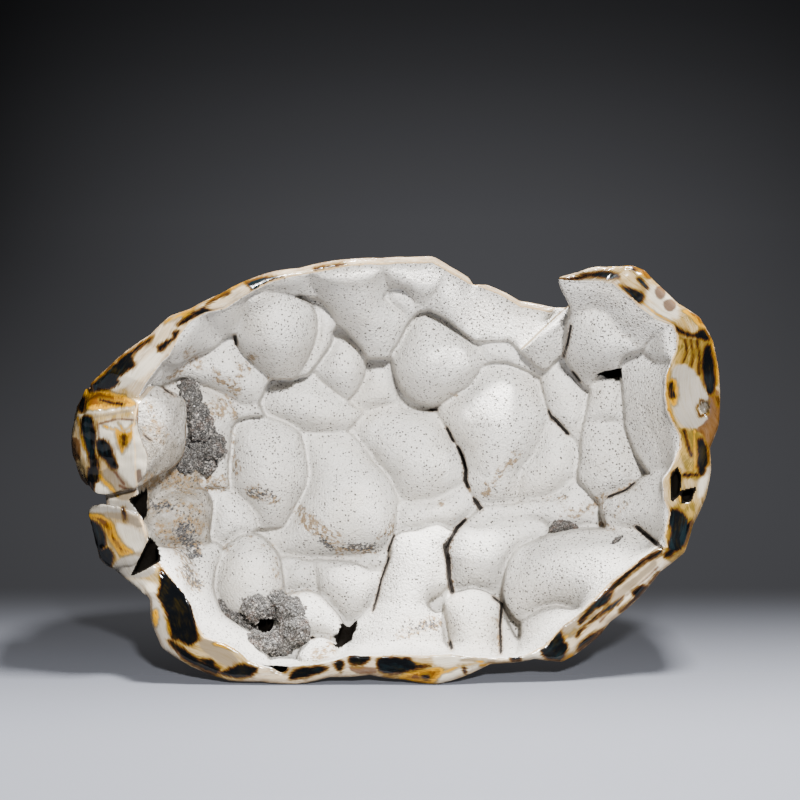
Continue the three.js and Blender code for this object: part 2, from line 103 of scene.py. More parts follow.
# The hollow's skin as lobes, the hindmost first: how far each stands back from the wall in
# millimetres, how far it is puffed against a ball, what it grows on, and its outline in the picture
LOBES = [
    (0, 0.2, "wall", [(150, 470), (170, 462), (204, 468), (208, 490), (180, 500), (160, 510), (148, 530), (138, 500)]),
    (0, 0.6, "wall", [
        (158, 362), (164, 350), (175, 328), (190, 316), (209, 312), (210, 322), (213, 332), (217, 346),
        (208, 351), (196, 355), (188, 360), (178, 366), (168, 368)]),
    (0, 0.6, "wall", [
        (209, 312), (228, 303), (246, 294), (247, 302), (243, 310), (240, 320), (237, 330), (235, 336),
        (228, 336), (223, 340), (217, 346), (213, 332), (209, 322)]),
    (-1, 0.5, "wall", [
        (246, 300), (255, 289), (270, 278), (290, 271), (312, 267), (318, 280), (320, 295), (300, 296),
        (283, 293), (262, 294), (250, 299)]),
    (1, 0.55, "wall", [
        (162, 364), (178, 366), (188, 360), (196, 355), (208, 351), (218, 346), (224, 339), (230, 335),
        (235, 336), (238, 345), (246, 355), (256, 365), (264, 372), (268, 380), (268, 386), (264, 394),
        (260, 403), (250, 404), (241, 405), (236, 402), (230, 397), (221, 393), (211, 388), (196, 383),
        (183, 379), (172, 372)]),
    (1.5, 0.5, "wall", [
        (183, 379), (196, 383), (211, 388), (221, 393), (230, 397), (236, 402), (241, 405), (250, 404),
        (260, 403), (263, 410), (268, 418), (250, 418), (240, 419), (235, 424), (232, 432), (231, 445),
        (229, 460), (228, 475), (229, 487), (220, 488), (205, 490), (198, 480), (205, 470), (200, 450),
        (195, 420), (188, 400)]),
    (-1, 0.6, "wall", [
        (326, 304), (312, 285), (318, 270), (350, 258), (384, 256), (386, 275), (388, 284), (391, 289),
        (386, 293), (385, 299), (392, 306), (402, 313), (411, 320), (407, 326), (402, 336), (397, 345),
        (392, 351), (390, 360), (378, 359), (367, 359), (363, 351), (357, 342), (349, 333), (340, 322),
        (333, 312)]),
    (0, 0.7, "wall", [
        (333, 334), (338, 331), (345, 331), (350, 336), (358, 344), (364, 352), (367, 360), (366, 370),
        (363, 380), (358, 390), (352, 397), (348, 400), (340, 395), (333, 390), (325, 385), (318, 378),
        (313, 369), (322, 358), (330, 347)]),
    (-2, 0.8, "wall", [
        (296, 296), (309, 298), (320, 302), (326, 308), (331, 320), (333, 335), (330, 346), (322, 358),
        (314, 368), (307, 375), (297, 378), (290, 379), (280, 360), (285, 320)]),
    (-3.5, 0.8, "wall", [
        (250, 299), (262, 294), (280, 293), (295, 296), (308, 302), (315, 311), (318, 324), (316, 338),
        (311, 352), (304, 366), (298, 374), (293, 379), (284, 379), (272, 375), (262, 369), (253, 362),
        (244, 354), (238, 345), (236, 338), (238, 328), (242, 316), (246, 305)]),
    (1, 0.5, "wall", [
        (367, 359), (378, 359), (390, 360), (392, 372), (394, 385), (398, 398), (404, 408), (396, 405),
        (385, 406), (374, 409), (366, 412), (358, 412), (350, 404), (348, 400), (353, 397), (359, 388),
        (364, 378), (366, 368)]),
    (0, 0.6, "wall", [
        (268, 384), (280, 381), (292, 380), (301, 377), (309, 375), (314, 370), (320, 380), (333, 390),
        (341, 396), (348, 401), (356, 407), (364, 412), (357, 421), (352, 428), (347, 432), (335, 434),
        (315, 433), (300, 432), (290, 427), (280, 421), (268, 418), (262, 410), (260, 402), (264, 393)]),
    (-1, 0.62, "wall", [
        (300, 432), (315, 433), (335, 434), (347, 431), (353, 434), (360, 443), (368, 452), (374, 462),
        (382, 470), (390, 480), (395, 490), (398, 500), (398, 510), (397, 520), (395, 532), (392, 541),
        (386, 549), (378, 553), (365, 556), (345, 557), (325, 558), (305, 559), (292, 557), (283, 558),
        (279, 553), (272, 545), (262, 536), (252, 533), (262, 530), (283, 527), (290, 516), (297, 503),
        (303, 492), (307, 480), (307, 470), (305, 455), (302, 440)]),
    (-3, 0.7, "wall", [
        (235, 424), (240, 419), (250, 417), (264, 417), (278, 420), (289, 425), (299, 432), (303, 442),
        (306, 456), (308, 470), (307, 482), (303, 492), (297, 503), (290, 516), (283, 527), (270, 529),
        (257, 529), (256, 520), (250, 510), (243, 503), (236, 497), (231, 491), (229, 483), (229, 470),
        (230, 455), (231, 440), (232, 431)]),
    (0, 0.55, "wall", [
        (150, 500), (165, 490), (200, 488), (208, 490), (212, 500), (213, 515), (211, 530), (212, 546),
        (200, 548), (185, 548), (165, 547), (152, 546), (146, 530), (148, 512)]),
    (0, 0.55, "wall", [
        (205, 488), (220, 488), (231, 491), (238, 497), (248, 506), (255, 517), (257, 529), (250, 533),
        (240, 536), (230, 543), (223, 551), (217, 546), (211, 547), (210, 530), (212, 515), (212, 500)]),
    (0, 0.5, "wall", [
        (146, 548), (165, 547), (180, 549), (192, 548), (197, 560), (198, 580), (195, 602), (180, 595),
        (160, 570)]),
    (0, 0.5, "wall", [
        (192, 548), (205, 544), (216, 542), (222, 547), (222, 553), (216, 570), (214, 590), (218, 600),
        (220, 615), (235, 627), (250, 638), (262, 652), (272, 668), (255, 670), (235, 655), (190, 645),
        (186, 600), (197, 580)]),
    (-1, 0.65, "wall", [
        (223, 551), (230, 543), (240, 537), (252, 534), (262, 537), (271, 545), (278, 556), (282, 570),
        (284, 584), (285, 598), (278, 612), (260, 622), (240, 620), (222, 608), (215, 595), (214, 580),
        (217, 565)]),
    (0.5, 0.5, "wall", [
        (283, 558), (292, 557), (305, 558), (315, 560), (316, 572), (318, 583), (322, 596), (310, 592),
        (298, 592), (290, 594), (285, 598), (284, 584), (283, 570)]),
    (0.5, 0.4, "wall", [
        (300, 559), (325, 558), (345, 557), (365, 556), (378, 553), (389, 549), (390, 557), (386, 568),
        (384, 573), (370, 571), (358, 564), (345, 561), (325, 561), (310, 561)]),
    (0, 0.6, "wall", [
        (315, 560), (330, 561), (345, 561), (358, 564), (370, 570), (384, 572), (381, 582), (378, 592),
        (376, 601), (371, 611), (362, 617), (352, 622), (342, 622), (335, 612), (328, 603), (320, 595),
        (317, 583), (316, 572)]),
    (-1, 0.6, "wall", [
        (284, 598), (290, 594), (299, 592), (311, 592), (320, 596), (328, 604), (336, 613), (341, 621),
        (340, 633), (338, 645), (336, 664), (300, 670), (280, 670), (270, 662), (280, 640), (282, 615)]),
    (-1.5, 0.2, "wall", [
        (300, 648), (305, 641), (312, 637), (321, 637), (330, 641), (337, 649), (333, 658), (320, 661),
        (305, 661), (298, 657)]),
    (-1, 0.55, "wall", [
        (396, 536), (405, 533), (415, 531), (430, 527), (443, 526), (453, 531), (450, 541), (445, 549),
        (446, 562), (449, 577), (448, 588), (440, 596), (431, 601), (430, 606), (436, 612), (444, 612),
        (447, 625), (450, 640), (450, 660), (430, 664), (400, 664), (350, 664), (344, 648), (349, 640),
        (353, 629), (359, 619), (368, 612), (375, 606), (379, 594), (382, 581), (386, 568), (390, 556),
        (392, 545)]),
    (1, 0.4, "wall", [
        (430, 601), (440, 595), (447, 588), (453, 591), (449, 600), (445, 611), (435, 612), (429, 606)]),
    (-1.5, 0.6, "wall", [
        (444, 604), (450, 598), (458, 593), (468, 590), (478, 590), (487, 593), (495, 598), (501, 605),
        (501, 625), (500, 658), (485, 664), (460, 662), (450, 655), (449, 635), (446, 618)]),
    (1, 0.5, "wall", [
        (501, 605), (506, 613), (510, 625), (516, 636), (520, 645), (514, 662), (501, 662), (500, 630)]),
    (8, 0.3, "wall", [
        (503, 595), (508, 606), (514, 616), (521, 623), (521, 642), (514, 634), (508, 622), (503, 610)]),
    (0, 0.55, "wall", [
        (466, 521), (476, 526), (490, 524), (505, 522), (525, 521), (542, 521), (549, 526), (549, 535),
        (535, 541), (520, 548), (511, 559), (505, 573), (503, 588), (502, 600), (494, 597), (487, 593),
        (478, 590), (468, 590), (458, 593), (453, 591), (450, 577), (447, 562), (446, 549), (452, 539),
        (458, 530)]),
    (0.5, 0.5, "wall", [
        (464, 521), (470, 517), (475, 512), (479, 508), (486, 506), (500, 505), (512, 504), (522, 501),
        (538, 500), (549, 498), (558, 494), (566, 487), (572, 482), (577, 478), (582, 484), (590, 493),
        (598, 501), (603, 508), (605, 520), (603, 529), (590, 530), (570, 531), (560, 534), (549, 535),
        (547, 526), (540, 521), (522, 521), (505, 522), (490, 524), (476, 526)]),
    (-2, 0.6, "wall", [
        (503, 600), (503, 585), (506, 570), (511, 558), (519, 549), (532, 542), (546, 536), (562, 532),
        (580, 529), (600, 528), (620, 529), (640, 530), (654, 540), (672, 550), (650, 572), (610, 602),
        (590, 618), (570, 609), (558, 606), (546, 607), (536, 611), (528, 616), (521, 623), (514, 618),
        (508, 610)]),
    (-1, 0.6, "wall", [
        (521, 623), (528, 616), (536, 611), (546, 607), (558, 606), (570, 609), (590, 612), (570, 645),
        (550, 660), (520, 660), (520, 638)]),
    (0, 0.6, "wall", [
        (600, 503), (609, 496), (620, 491), (630, 488), (635, 481), (645, 475), (656, 471), (664, 468),
        (680, 458), (678, 480), (678, 512), (676, 550), (662, 549), (655, 541), (648, 534), (640, 530),
        (630, 528), (620, 529), (610, 529), (604, 520)]),
    (0, 0.6, "wall", [
        (347, 432), (352, 427), (358, 420), (364, 413), (373, 409), (386, 407), (396, 406), (404, 409),
        (420, 411), (434, 411), (440, 417), (446, 427), (452, 438), (458, 447), (463, 458), (466, 470),
        (467, 480), (462, 485), (455, 490), (446, 495), (435, 499), (425, 501), (412, 502), (402, 501),
        (398, 499), (394, 489), (389, 479), (381, 469), (374, 462), (368, 453), (360, 443), (352, 434)]),
    (1, 0.5, "wall", [
        (400, 501), (412, 502), (425, 501), (436, 499), (447, 494), (456, 489), (464, 485), (470, 491),
        (474, 499), (478, 508), (475, 513), (469, 518), (462, 523), (456, 529), (450, 531), (440, 526),
        (430, 527), (418, 531), (408, 532), (400, 533), (396, 536), (396, 525), (397, 515), (397, 506)]),
    (1.5, 0.2, "wall", [
        (391, 356), (393, 372), (396, 385), (400, 397), (405, 409), (420, 411), (434, 411), (441, 405),
        (436, 398), (420, 396), (410, 385), (402, 370)]),
    (0.5, 0.5, "wall", [
        (475, 341), (486, 341), (508, 341), (515, 346), (521, 353), (528, 359), (534, 364), (541, 369),
        (546, 371), (543, 377), (541, 380), (533, 374), (524, 369), (515, 366), (507, 363), (499, 362),
        (490, 363), (483, 366), (483, 358), (480, 349)]),
    (-1.5, 0.72, "wall", [
        (419, 312), (424, 310), (429, 310), (437, 314), (448, 320), (458, 328), (467, 335), (475, 341),
        (481, 350), (483, 360), (483, 367), (479, 373), (474, 379), (469, 386), (461, 391), (452, 396),
        (443, 402), (436, 406), (425, 405), (414, 401), (405, 394), (399, 386), (395, 375), (392, 362),
        (391, 354), (397, 345), (403, 335), (407, 326), (411, 320)]),
    (0.5, 0.5, "wall", [
        (551, 419), (557, 423), (568, 433), (575, 441), (579, 450), (580, 458), (578, 468), (577, 479),
        (571, 483), (563, 490), (553, 496), (545, 499), (532, 500), (520, 501), (519, 488), (520, 475),
        (525, 465), (533, 457), (540, 446), (543, 436), (547, 426)]),
    (-1, 0.55, "wall", [
        (477, 375), (481, 369), (485, 365), (492, 363), (500, 362), (508, 363), (516, 366), (525, 370),
        (533, 374), (541, 380), (543, 391), (546, 403), (549, 412), (551, 419), (547, 426), (543, 436),
        (540, 446), (533, 457), (525, 465), (520, 475), (519, 488), (520, 501), (510, 504), (495, 505),
        (480, 505), (475, 499), (470, 491), (467, 482), (466, 470), (463, 458), (458, 447), (452, 438),
        (446, 428), (441, 419), (437, 411), (445, 402), (454, 396), (462, 391), (469, 386)]),
    (0, 0.5, "wall", [
        (563, 354), (567, 362), (573, 371), (580, 381), (588, 389), (591, 389), (588, 400), (586, 412),
        (583, 424), (581, 436), (580, 455), (579, 445), (575, 438), (567, 431), (558, 422), (551, 418),
        (548, 409), (545, 399), (542, 388), (541, 380), (546, 371), (555, 362)]),
    (0, 0.35, "wall", [
        (586, 421), (600, 421), (612, 421), (624, 421), (627, 432), (631, 443), (636, 455), (643, 465),
        (650, 473), (640, 478), (634, 484), (626, 490), (616, 493), (608, 497), (600, 503), (590, 493),
        (582, 484), (578, 479), (579, 466), (581, 455), (581, 440), (583, 430)]),
    (0, 0.35, "wall", [
        (643, 351), (650, 357), (659, 363), (668, 361), (677, 357), (680, 380), (680, 400), (690, 430),
        (690, 450), (680, 464), (664, 468), (655, 471), (648, 472), (642, 464), (636, 455), (631, 443),
        (627, 432), (624, 421), (624, 405), (622, 390), (620, 377), (621, 367), (622, 360), (630, 354)]),
    (0, 0.45, "wall", [
        (592, 386), (597, 378), (605, 373), (612, 374), (620, 377), (622, 388), (623, 400), (624, 412),
        (624, 421), (605, 421), (588, 421), (586, 412), (588, 400), (590, 390)]),
    (-2, 0.6, "wall", [
        (664, 322), (676, 318), (690, 335), (690, 350), (680, 358), (668, 361), (659, 364), (651, 359),
        (643, 352), (647, 343), (653, 336), (660, 330)]),
    (0, 0.55, "wall", [
        (515, 297), (530, 301), (550, 303), (572, 305), (568, 325), (566, 338), (564, 352), (555, 362),
        (546, 371), (536, 366), (527, 358), (519, 350), (512, 343), (509, 336), (513, 325), (518, 312),
        (521, 300)]),
    (-1, 0.55, "wall", [
        (428, 309), (430, 301), (436, 291), (442, 279), (452, 266), (470, 278), (500, 287), (521, 298),
        (518, 312), (513, 325), (509, 336), (507, 341), (486, 341), (475, 341), (466, 335), (457, 328),
        (447, 320), (437, 314)]),
    (-1, 0.55, "wall", [
        (384, 256), (410, 252), (433, 252), (452, 264), (444, 276), (438, 288), (431, 300), (428, 310),
        (424, 311), (420, 311), (413, 300), (407, 291), (400, 288), (391, 288), (387, 280), (385, 271)]),
    (0, 0.6, "wall", [
        (391, 288), (400, 288), (407, 291), (413, 300), (420, 311), (416, 314), (411, 320), (404, 315),
        (397, 310), (391, 304), (385, 299), (386, 293)]),
    (0, 0.1, "wing", [
        (553, 278), (575, 272), (600, 270), (618, 276), (630, 284), (650, 300), (664, 312), (672, 322),
        (660, 330), (653, 336), (647, 343), (642, 351), (632, 342), (622, 335), (615, 329), (609, 318),
        (602, 311), (590, 311), (578, 317), (571, 325), (566, 335), (565, 345), (566, 325), (569, 309)]),
    (0, 0.62, "wing", [
        (566, 335), (570, 325), (578, 315), (590, 311), (602, 311), (609, 318), (615, 329), (622, 335),
        (632, 342), (641, 350), (632, 353), (625, 357), (621, 362), (620, 368), (612, 370), (603, 371),
        (598, 375), (594, 381), (590, 389), (584, 386), (577, 377), (571, 368), (566, 358), (564, 348)]),
]

# Soft folds inside a lobe: from one place of the picture to another
FOLDS = [
    (387, 411, 379, 424), (379, 424, 375, 440), (375, 440, 373, 458), (640, 398, 646, 412),
    (646, 412, 650, 428), (650, 428, 656, 442), (656, 442, 661, 455), (463, 398, 469, 407),
    (469, 407, 472, 417), (372, 600, 420, 604), (384, 520, 396, 530), (472, 470, 490, 478),
    (205, 405, 207, 425), (199, 362, 213, 352), (207, 372, 222, 356), (285, 568, 300, 563),
    (470, 578, 482, 592), (606, 503, 607, 516), (607, 516, 616, 519), (225, 560, 240, 541),
]

# Corners of the lumps and of the wing: picture across, picture down, depth
UPPER_LUMP = [
    (86, 413, -2), (104, 406, -3), (135, 404, -2), (148, 425, -2), (150, 462, -2), (137, 488, 0),
    (112, 498, 1), (92, 492, 2), (74, 458, 4), (68, 440, 6), (78, 400, 8), (90, 384, 6),
    (136, 386, 5), (162, 384, 7), (184, 398, 15), (189, 440, 20), (180, 464, 18), (165, 474, 12),
    (82, 400, 34), (80, 480, 34), (185, 400, 40), (180, 466, 38),
]
LOWER_LUMP = [
    (86, 512, 3), (100, 501, 1), (128, 506, -1), (146, 521, 1), (151, 543, 3), (140, 562, 4),
    (118, 573, 4), (101, 563, 5), (93, 540, 5), (92, 510, 34), (100, 560, 34), (145, 525, 34),
    (140, 560, 34),
]
LUMP_BRIDGE = [
    (112, 564, 7), (150, 558, 6), (166, 575, 5), (160, 600, 3), (148, 601, 4), (124, 581, 7),
    (112, 564, 30), (166, 575, 36), (160, 600, 36), (150, 558, 30),
]
WING = [
    (555, 281, 0), (558, 276, 0), (570, 277, 0), (581, 275, 0), (590, 270, 0), (605, 266, 0),
    (622, 265, 0), (647, 273, 0), (655, 322, 0), (600, 332, 0), (570, 307, 0), (555, 281, 2),
    (560, 279, 8), (562, 292, 14), (570, 307, 30), (605, 268, 13), (630, 267, 13), (647, 273, 14),
    (655, 322, 34), (600, 332, 34),
]
WING_ROOT = [
    (570, 307, 3), (600, 300, 3), (645, 320, 3), (600, 366, 3), (568, 352, 3), (565, 340, 3),
    (570, 307, 42), (600, 300, 42), (645, 320, 42), (600, 366, 46), (568, 352, 46), (565, 340, 46),
]
WING_OPENING = [
    (553, 279), (575, 281), (600, 281), (612, 285), (620, 292), (640, 308), (655, 319), (668, 326),
    (640, 350), (600, 350), (568, 350), (569, 308),
]
RIGHT_SPIKE = [
    (705, 456, 5), (713, 463, 7), (714, 470, 9), (706, 488, 5), (704, 456, 20), (711, 466, 18),
    (704, 488, 20),
]
LUMPS = [UPPER_LUMP, LOWER_LUMP, LUMP_BRIDGE, RIGHT_SPIKE]
WINGS = [WING, WING_ROOT]

# Open gaps and pits: outline in the picture, then the depths between which each is cut
GAPS = [
    ([(337, 645), (339, 632), (344, 625), (352, 624), (356, 622), (352, 634), (346, 642)], (0, 44)),
    ([(602, 374), (610, 370), (619, 368), (621, 372), (617, 377), (610, 374)], (24, 56)),
    ([(131, 500), (147, 492), (151, 505), (143, 516)], (-6, 24)),
    ([(150, 540), (156, 546), (159, 560), (146, 568), (134, 573)], (-6, 22)),
    ([(683, 502), (682, 492), (694, 489), (690, 500)], (-2, 11)),
    ([(673, 499), (672, 478), (677, 470), (680, 478), (678, 495)], (-2, 8)),
    ([(270, 667), (290, 668), (282, 673)], (-3, 9)),
    ([(700, 404), (706, 401), (710, 408), (705, 415), (700, 411)], (2, 6.2)),
]

# Crystal crusts: middle of each cluster in the picture and its radius
LEFT_CRUST = [
    (189, 386, 3.4), (190, 399, 4.2), (197, 414, 4.2), (202, 428, 4.6), (212, 446, 5),
    (198, 448, 5), (186, 460, 4.4), (204, 462, 4.6),
]
FLOOR_CRUST = [
    (222, 609, 3.4), (233, 618, 4.2), (246, 624, 5), (256, 608, 5), (275, 604, 5),
    (291, 613, 5.4), (295, 630, 5.4), (280, 643, 5.2), (260, 643, 5),
]
CRUST_PROUD = 0.1
LEAST_HEIGHT = 0.001
CRUST_HOLE = (264, 624, 2.6)
UPPER_CHIP = ([(549, 531), (556, 518), (568, 517), (574, 524), (580, 529), (565, 533)], 3.0)
LOWER_CHIP = ([(609, 549), (611, 541), (618, 537), (623, 536), (618, 543)], 2.2)


# ---- The stone as a field of distances, negative inside

def edge_table(points):
    """Angle, radius and depth of an edge round the bowl's middle, sorted by angle."""
    rows = []
    for across, down, *depth in points:
        right, rise = across - BOWL_MIDDLE[0], BOWL_MIDDLE[1] - down
        turn = math.atan2(rise, right)
        rows.append((turn, math.hypot(right, rise) * MM_PER_PIXEL, depth[0] if depth else 0.0))
    return np.array(sorted(rows)).T


def at_angle(table, row, angle):
    return np.interp(angle, table[0], table[row], period=2 * math.pi).astype(np.float32)


def smoothstep(value, low, high):
    part = np.clip((value - low) / (high - low), 0, 1)
    return part * part * (3 - 2 * part)


def smooth_max(one, other, width):
    overlap = np.maximum(width - np.abs(one - other), 0)
    return np.maximum(one, other) + overlap * overlap / (4 * width)


def share(depth, full, roundness):
    """Radius left of a superellipse at a depth, as a share of its full radius."""
    return (1 - np.clip(depth / full, 0, 1) ** roundness) ** (1 / roundness)


OUTER = edge_table(OUTER_EDGE)
INNER = edge_table(INNER_EDGE)
TURNS = np.radians(np.arange(-180, 180, 1.0))
BACK = np.array([TURNS, np.min([
    at_angle(OUTER, 1, TURNS + math.radians(degrees)) + BACK_RISE_PER_DEGREE * abs(degrees)
    for degrees in range(-30, 31, 3)
], axis=0)])
MIDDLE_ACROSS = (BOWL_MIDDLE[0] - PICTURE_MIDDLE) * MM_PER_PIXEL
MIDDLE_RISE = (PICTURE_MIDDLE - BOWL_MIDDLE[1]) * MM_PER_PIXEL
BACK_FLAT = 78.3


def wall_share(depth, rim):
    left = (1 - (depth / HOLLOW_DEPTH) ** 2) / (1 - (rim / HOLLOW_DEPTH) ** 2)
    return np.maximum(left, 0) ** (1 / HOLLOW_ROUNDNESS)


def swell(angle, depth):
    wave = np.sin(3 * angle + 0.05 * depth) + np.sin(5 * angle - 0.09 * depth + 1.3)
    return (wave + 0.5 * np.sin(9 * angle + 0.16 * depth + 0.4) + 2.5) / 5


def stone_radius(angle, depth):
    edge, rim = at_angle(OUTER, 1, angle), at_angle(OUTER, 2, angle)
    inner = at_angle(INNER, 1, angle)
    turned = share(depth, STONE_DEPTH, BACK_ROUNDNESS) / share(rim, STONE_DEPTH, BACK_ROUNDNESS)
    behind = smoothstep(depth - rim, 0, 36)
    swollen = smoothstep(depth - rim, 3, 26)
    below = smoothstep(-np.sin(angle), 0.5, 0.9)
    blended = edge + (at_angle(BACK, 1, angle) - edge) * behind
    relief = 1 - 0.06 * swollen * (1 - 0.7 * below) * swell(angle, depth)
    rounded = blended * np.minimum(turned, 1) * relief
    hollow = np.minimum(inner, 1.02 * inner * wall_share(depth, rim))
    return np.minimum(edge, np.maximum(rounded, hollow + LEAST_WALL * behind))


def ripple(across, rise, depth, length, seed):
    """Smooth waves between about -1 and 1 that don't repeat over the stone."""
    draw = np.random.default_rng(seed)
    total = 0
    for _ in range(5):
        way = draw.normal(size=3)
        way *= 2 * math.pi / (length * np.linalg.norm(way) * draw.uniform(0.8, 1.25))
        total = total + np.sin(way[0] * across + way[1] * rise + way[2] * depth + draw.uniform(0, 6.28))
    return total / 2.6


def polar(across, rise):
    angle = np.arctan2(rise - MIDDLE_RISE, across - MIDDLE_ACROSS)
    return angle, np.hypot(rise - MIDDLE_RISE, across - MIDDLE_ACROSS)


def body_fields(across, rise, depth):
    """The stone's outside and its polished face, each as a field."""
    angle, radius = polar(across, rise)
    reach = stone_radius(angle, depth)
    slope = (stone_radius(angle, depth + 0.8) - reach) / 0.8
    rim = at_angle(OUTER, 2, angle)
    side = (radius - reach) / np.sqrt(1 + slope * slope)
    rough = smoothstep(depth - rim, 2, 14)
    waves = 0.55 + 0.3 * ripple(across, rise, depth, 17, 3) + 0.25 * ripple(across, rise, depth, 7, 4)
    side = smooth_max(side, depth - BACK_FLAT, 6) + rough * np.maximum(waves, 0)
    face = rim - depth + 0.15 * ripple(across, rise, depth, 14, 5)
    return side.astype(np.float32), face.astype(np.float32)


def seen(across, down, depth):
    """The point of the mouth's frame that stands at a place in the picture, at a depth."""
    spread = MM_PER_PIXEL * (1 + depth / EYE_DISTANCE)
    return ((across - PICTURE_MIDDLE) * spread, (PICTURE_MIDDLE - down) * spread, depth)


def hull_planes(corners):
    """Planes of the convex hull of corners given as picture places with depths."""
    points = np.array([seen(*corner) for corner in corners])
    planes = []
    for one, two, three in itertools.combinations(points, 3):
        normal = np.cross(two - one, three - one)
        length = np.linalg.norm(normal)
        if length < 1e-6:
            continue
        normal = normal / length
        side = points @ normal - one @ normal
        if side.max() < 1e-4:
            planes.append((*normal, one @ normal))
        elif side.min() > -1e-4:
            planes.append((*-normal, -(one @ normal)))
    return np.unique(np.round(planes, 4), axis=0)


def hull_field(planes, across, rise, depth, rounding):
    spread = 1 + depth / EYE_DISTANCE
    field = None
    for right, up, back, offset in planes:
        away = across * spread * right + rise * spread * up + depth * back - offset
        field = away if field is None else smooth_max(field, away, rounding)
    return field.astype(np.float32)


GAP_PLANES = [
    hull_planes([(x, y, depth) for depth in depths for x, y in outline])
    for outline, depths in GAPS
]


STROKE_REACH = 9.0


def strokes_field(strokes, across, down):
    """How far inside the nearest stroke each place of the picture lies, in pixels."""
    inside = np.full(across.shape, -STROKE_REACH, dtype=np.float32)
    for x1, y1, x2, y2, half in strokes:
        reach = half + STROKE_REACH
        near = np.flatnonzero((across > min(x1, x2) - reach) & (across < max(x1, x2) + reach)
                              & (down > min(y1, y2) - reach) & (down < max(y1, y2) + reach))
        x, y = across[near] - x1, down[near] - y1
        along = x2 - x1, y2 - y1
        length = max(along[0] ** 2 + along[1] ** 2, 1e-6)
        part = np.clip((x * along[0] + y * along[1]) / length, 0, 1)
        away = np.hypot(x - part * along[0], y - part * along[1])
        inside[near] = np.maximum(inside[near], half - away)
    return inside


# ---- The hollow's skin: a map of depths over the picture, with the lobes puffed up on the wall

MAP_BOX = (120, 248, 696, 680)
OPEN_AIR = -1
WING_RIM_LINE = [(540, 276), (556, 279), (575, 281), (600, 281), (612, 285), (620, 292), (640, 308), (668, 326)]
WING_FRONT = [
    (546, 260), (650, 260), (670, 326), (640, 308), (620, 292), (612, 285), (600, 281), (575, 281), (553, 279),
]
WING_STEEPNESS = 0.4
LEAST_SKIN_DEPTH = 1.0
BEFORE_FACE = 3.0
GROUND_ROUNDNESS = 2.6
CEILING_SLOPE = 0.3
PUFF_SHARE = 1.5
DOME_SHARE = 0.7
OWN_GROUND = 0.85
OWN_TILT = 0.10
FOLD_DEPTH = 0.8
FOLD_WIDTH = 2.4


def smoothed_round(values, degrees):
    """Values at each degree of the turn, each mixed with its neighbours."""
    shifts = np.arange(-3 * degrees, 3 * degrees + 1)
    weights = np.exp(-0.5 * (shifts / degrees) ** 2)
    return sum(weight * np.roll(values, shift) for weight, shift in zip(weights, shifts)) / weights.sum()


SOFT_EDGE = np.array([
    TURNS, smoothed_round(at_angle(INNER, 1, TURNS), 4), smoothed_round(at_angle(OUTER, 2, TURNS), 9),
])


def wall_depths(across, down):
    right, rise = across - BOWL_MIDDLE[0], BOWL_MIDDLE[1] - down
    angle = np.arctan2(rise, right)
    rim = at_angle(SOFT_EDGE, 2, angle)
    part = np.hypot(right, rise) * MM_PER_PIXEL / (1.02 * at_angle(SOFT_EDGE, 1, angle))
    left = (1 - (rim / HOLLOW_DEPTH) ** 2) * part ** GROUND_ROUNDNESS
    above = smoothstep(rise / np.maximum(np.hypot(right, rise), 1), 0.1, 0.6)
    return HOLLOW_DEPTH * np.maximum(1 - left, 0) ** (0.5 + CEILING_SLOPE * above)


def closed_curve(points, steps=5):
    """A smooth closed curve through places of the picture."""
    here = np.array(points, dtype=float)
    before, after, beyond = (np.roll(here, shift, axis=0) for shift in (1, -1, -2))
    rows = []
    for part in np.arange(steps) / steps:
        bend = 2 * before - 5 * here + 4 * after - beyond
        turn = 3 * here - before - 3 * after + beyond
        rows.append(here + 0.5 * ((after - before) * part + bend * part ** 2 + turn * part ** 3))
    return np.stack(rows, axis=1).reshape(-1, 2)


def within_curve(curve, across, down):
    within = np.zeros(across.shape, dtype=bool)
    for (x1, y1), (x2, y2) in zip(curve, np.roll(curve, -1, axis=0)):
        if y1 != y2:
            beside = across < x1 + (down - y1) * (x2 - x1) / (y2 - y1)
            within ^= ((y1 > down) != (y2 > down)) & beside
    return within


def blurred(values, rounds):
    """Values of a map, each round mixed a little with their neighbours."""
    for _ in range(rounds):
        wide = np.pad(values, 1, mode="edge")
        values = (wide[:, :-2] + 2 * wide[:, 1:-1] + wide[:, 2:]) / 4
        values = (values[:-2] + 2 * values[1:-1] + values[2:]) / 4
    return values


def line_distance(line, across, down):
    """Distance in the picture to a line through places."""
    nearest = np.full(across.shape, 1e3)
    for (x1, y1), (x2, y2) in zip(line, line[1:]):
        right, below = x2 - x1, y2 - y1
        part = ((across - x1) * right + (down - y1) * below) / (right * right + below * below)
        part = np.clip(part, 0, 1)
        nearest = np.minimum(nearest, np.hypot(across - x1 - part * right, down - y1 - part * below))
    return nearest


def label_lobes(across, down, is_open):
    """Number of the lobe at each place of the map; what no outline holds goes to its neighbour."""
    labels = np.full(across.shape, len(LOBES))
    for number, (_, _, _, outline) in enumerate(LOBES):
        curve = closed_curve(outline)
        left, top = (curve.min(axis=0) - MAP_BOX[:2]).astype(int)
        right, bottom = (curve.max(axis=0) - MAP_BOX[:2]).astype(int) + 2
        box = slice(max(top, 0), max(bottom, 0)), slice(max(left, 0), max(right, 0))
        labels[box][within_curve(curve, across[box], down[box])] = number
    while (labels == len(LOBES)).any():
        wide = np.pad(labels, 1, mode="edge")
        for side in (wide[1:-1, 2:], wide[1:-1, :-2], wide[2:, 1:-1], wide[:-2, 1:-1]):
            labels = np.where(labels == len(LOBES), side, labels)
    return np.where(is_open, labels, OPEN_AIR)


PUFF_ROUNDS = ((8, 500), (4, 300), (2, 150), (1, 60))


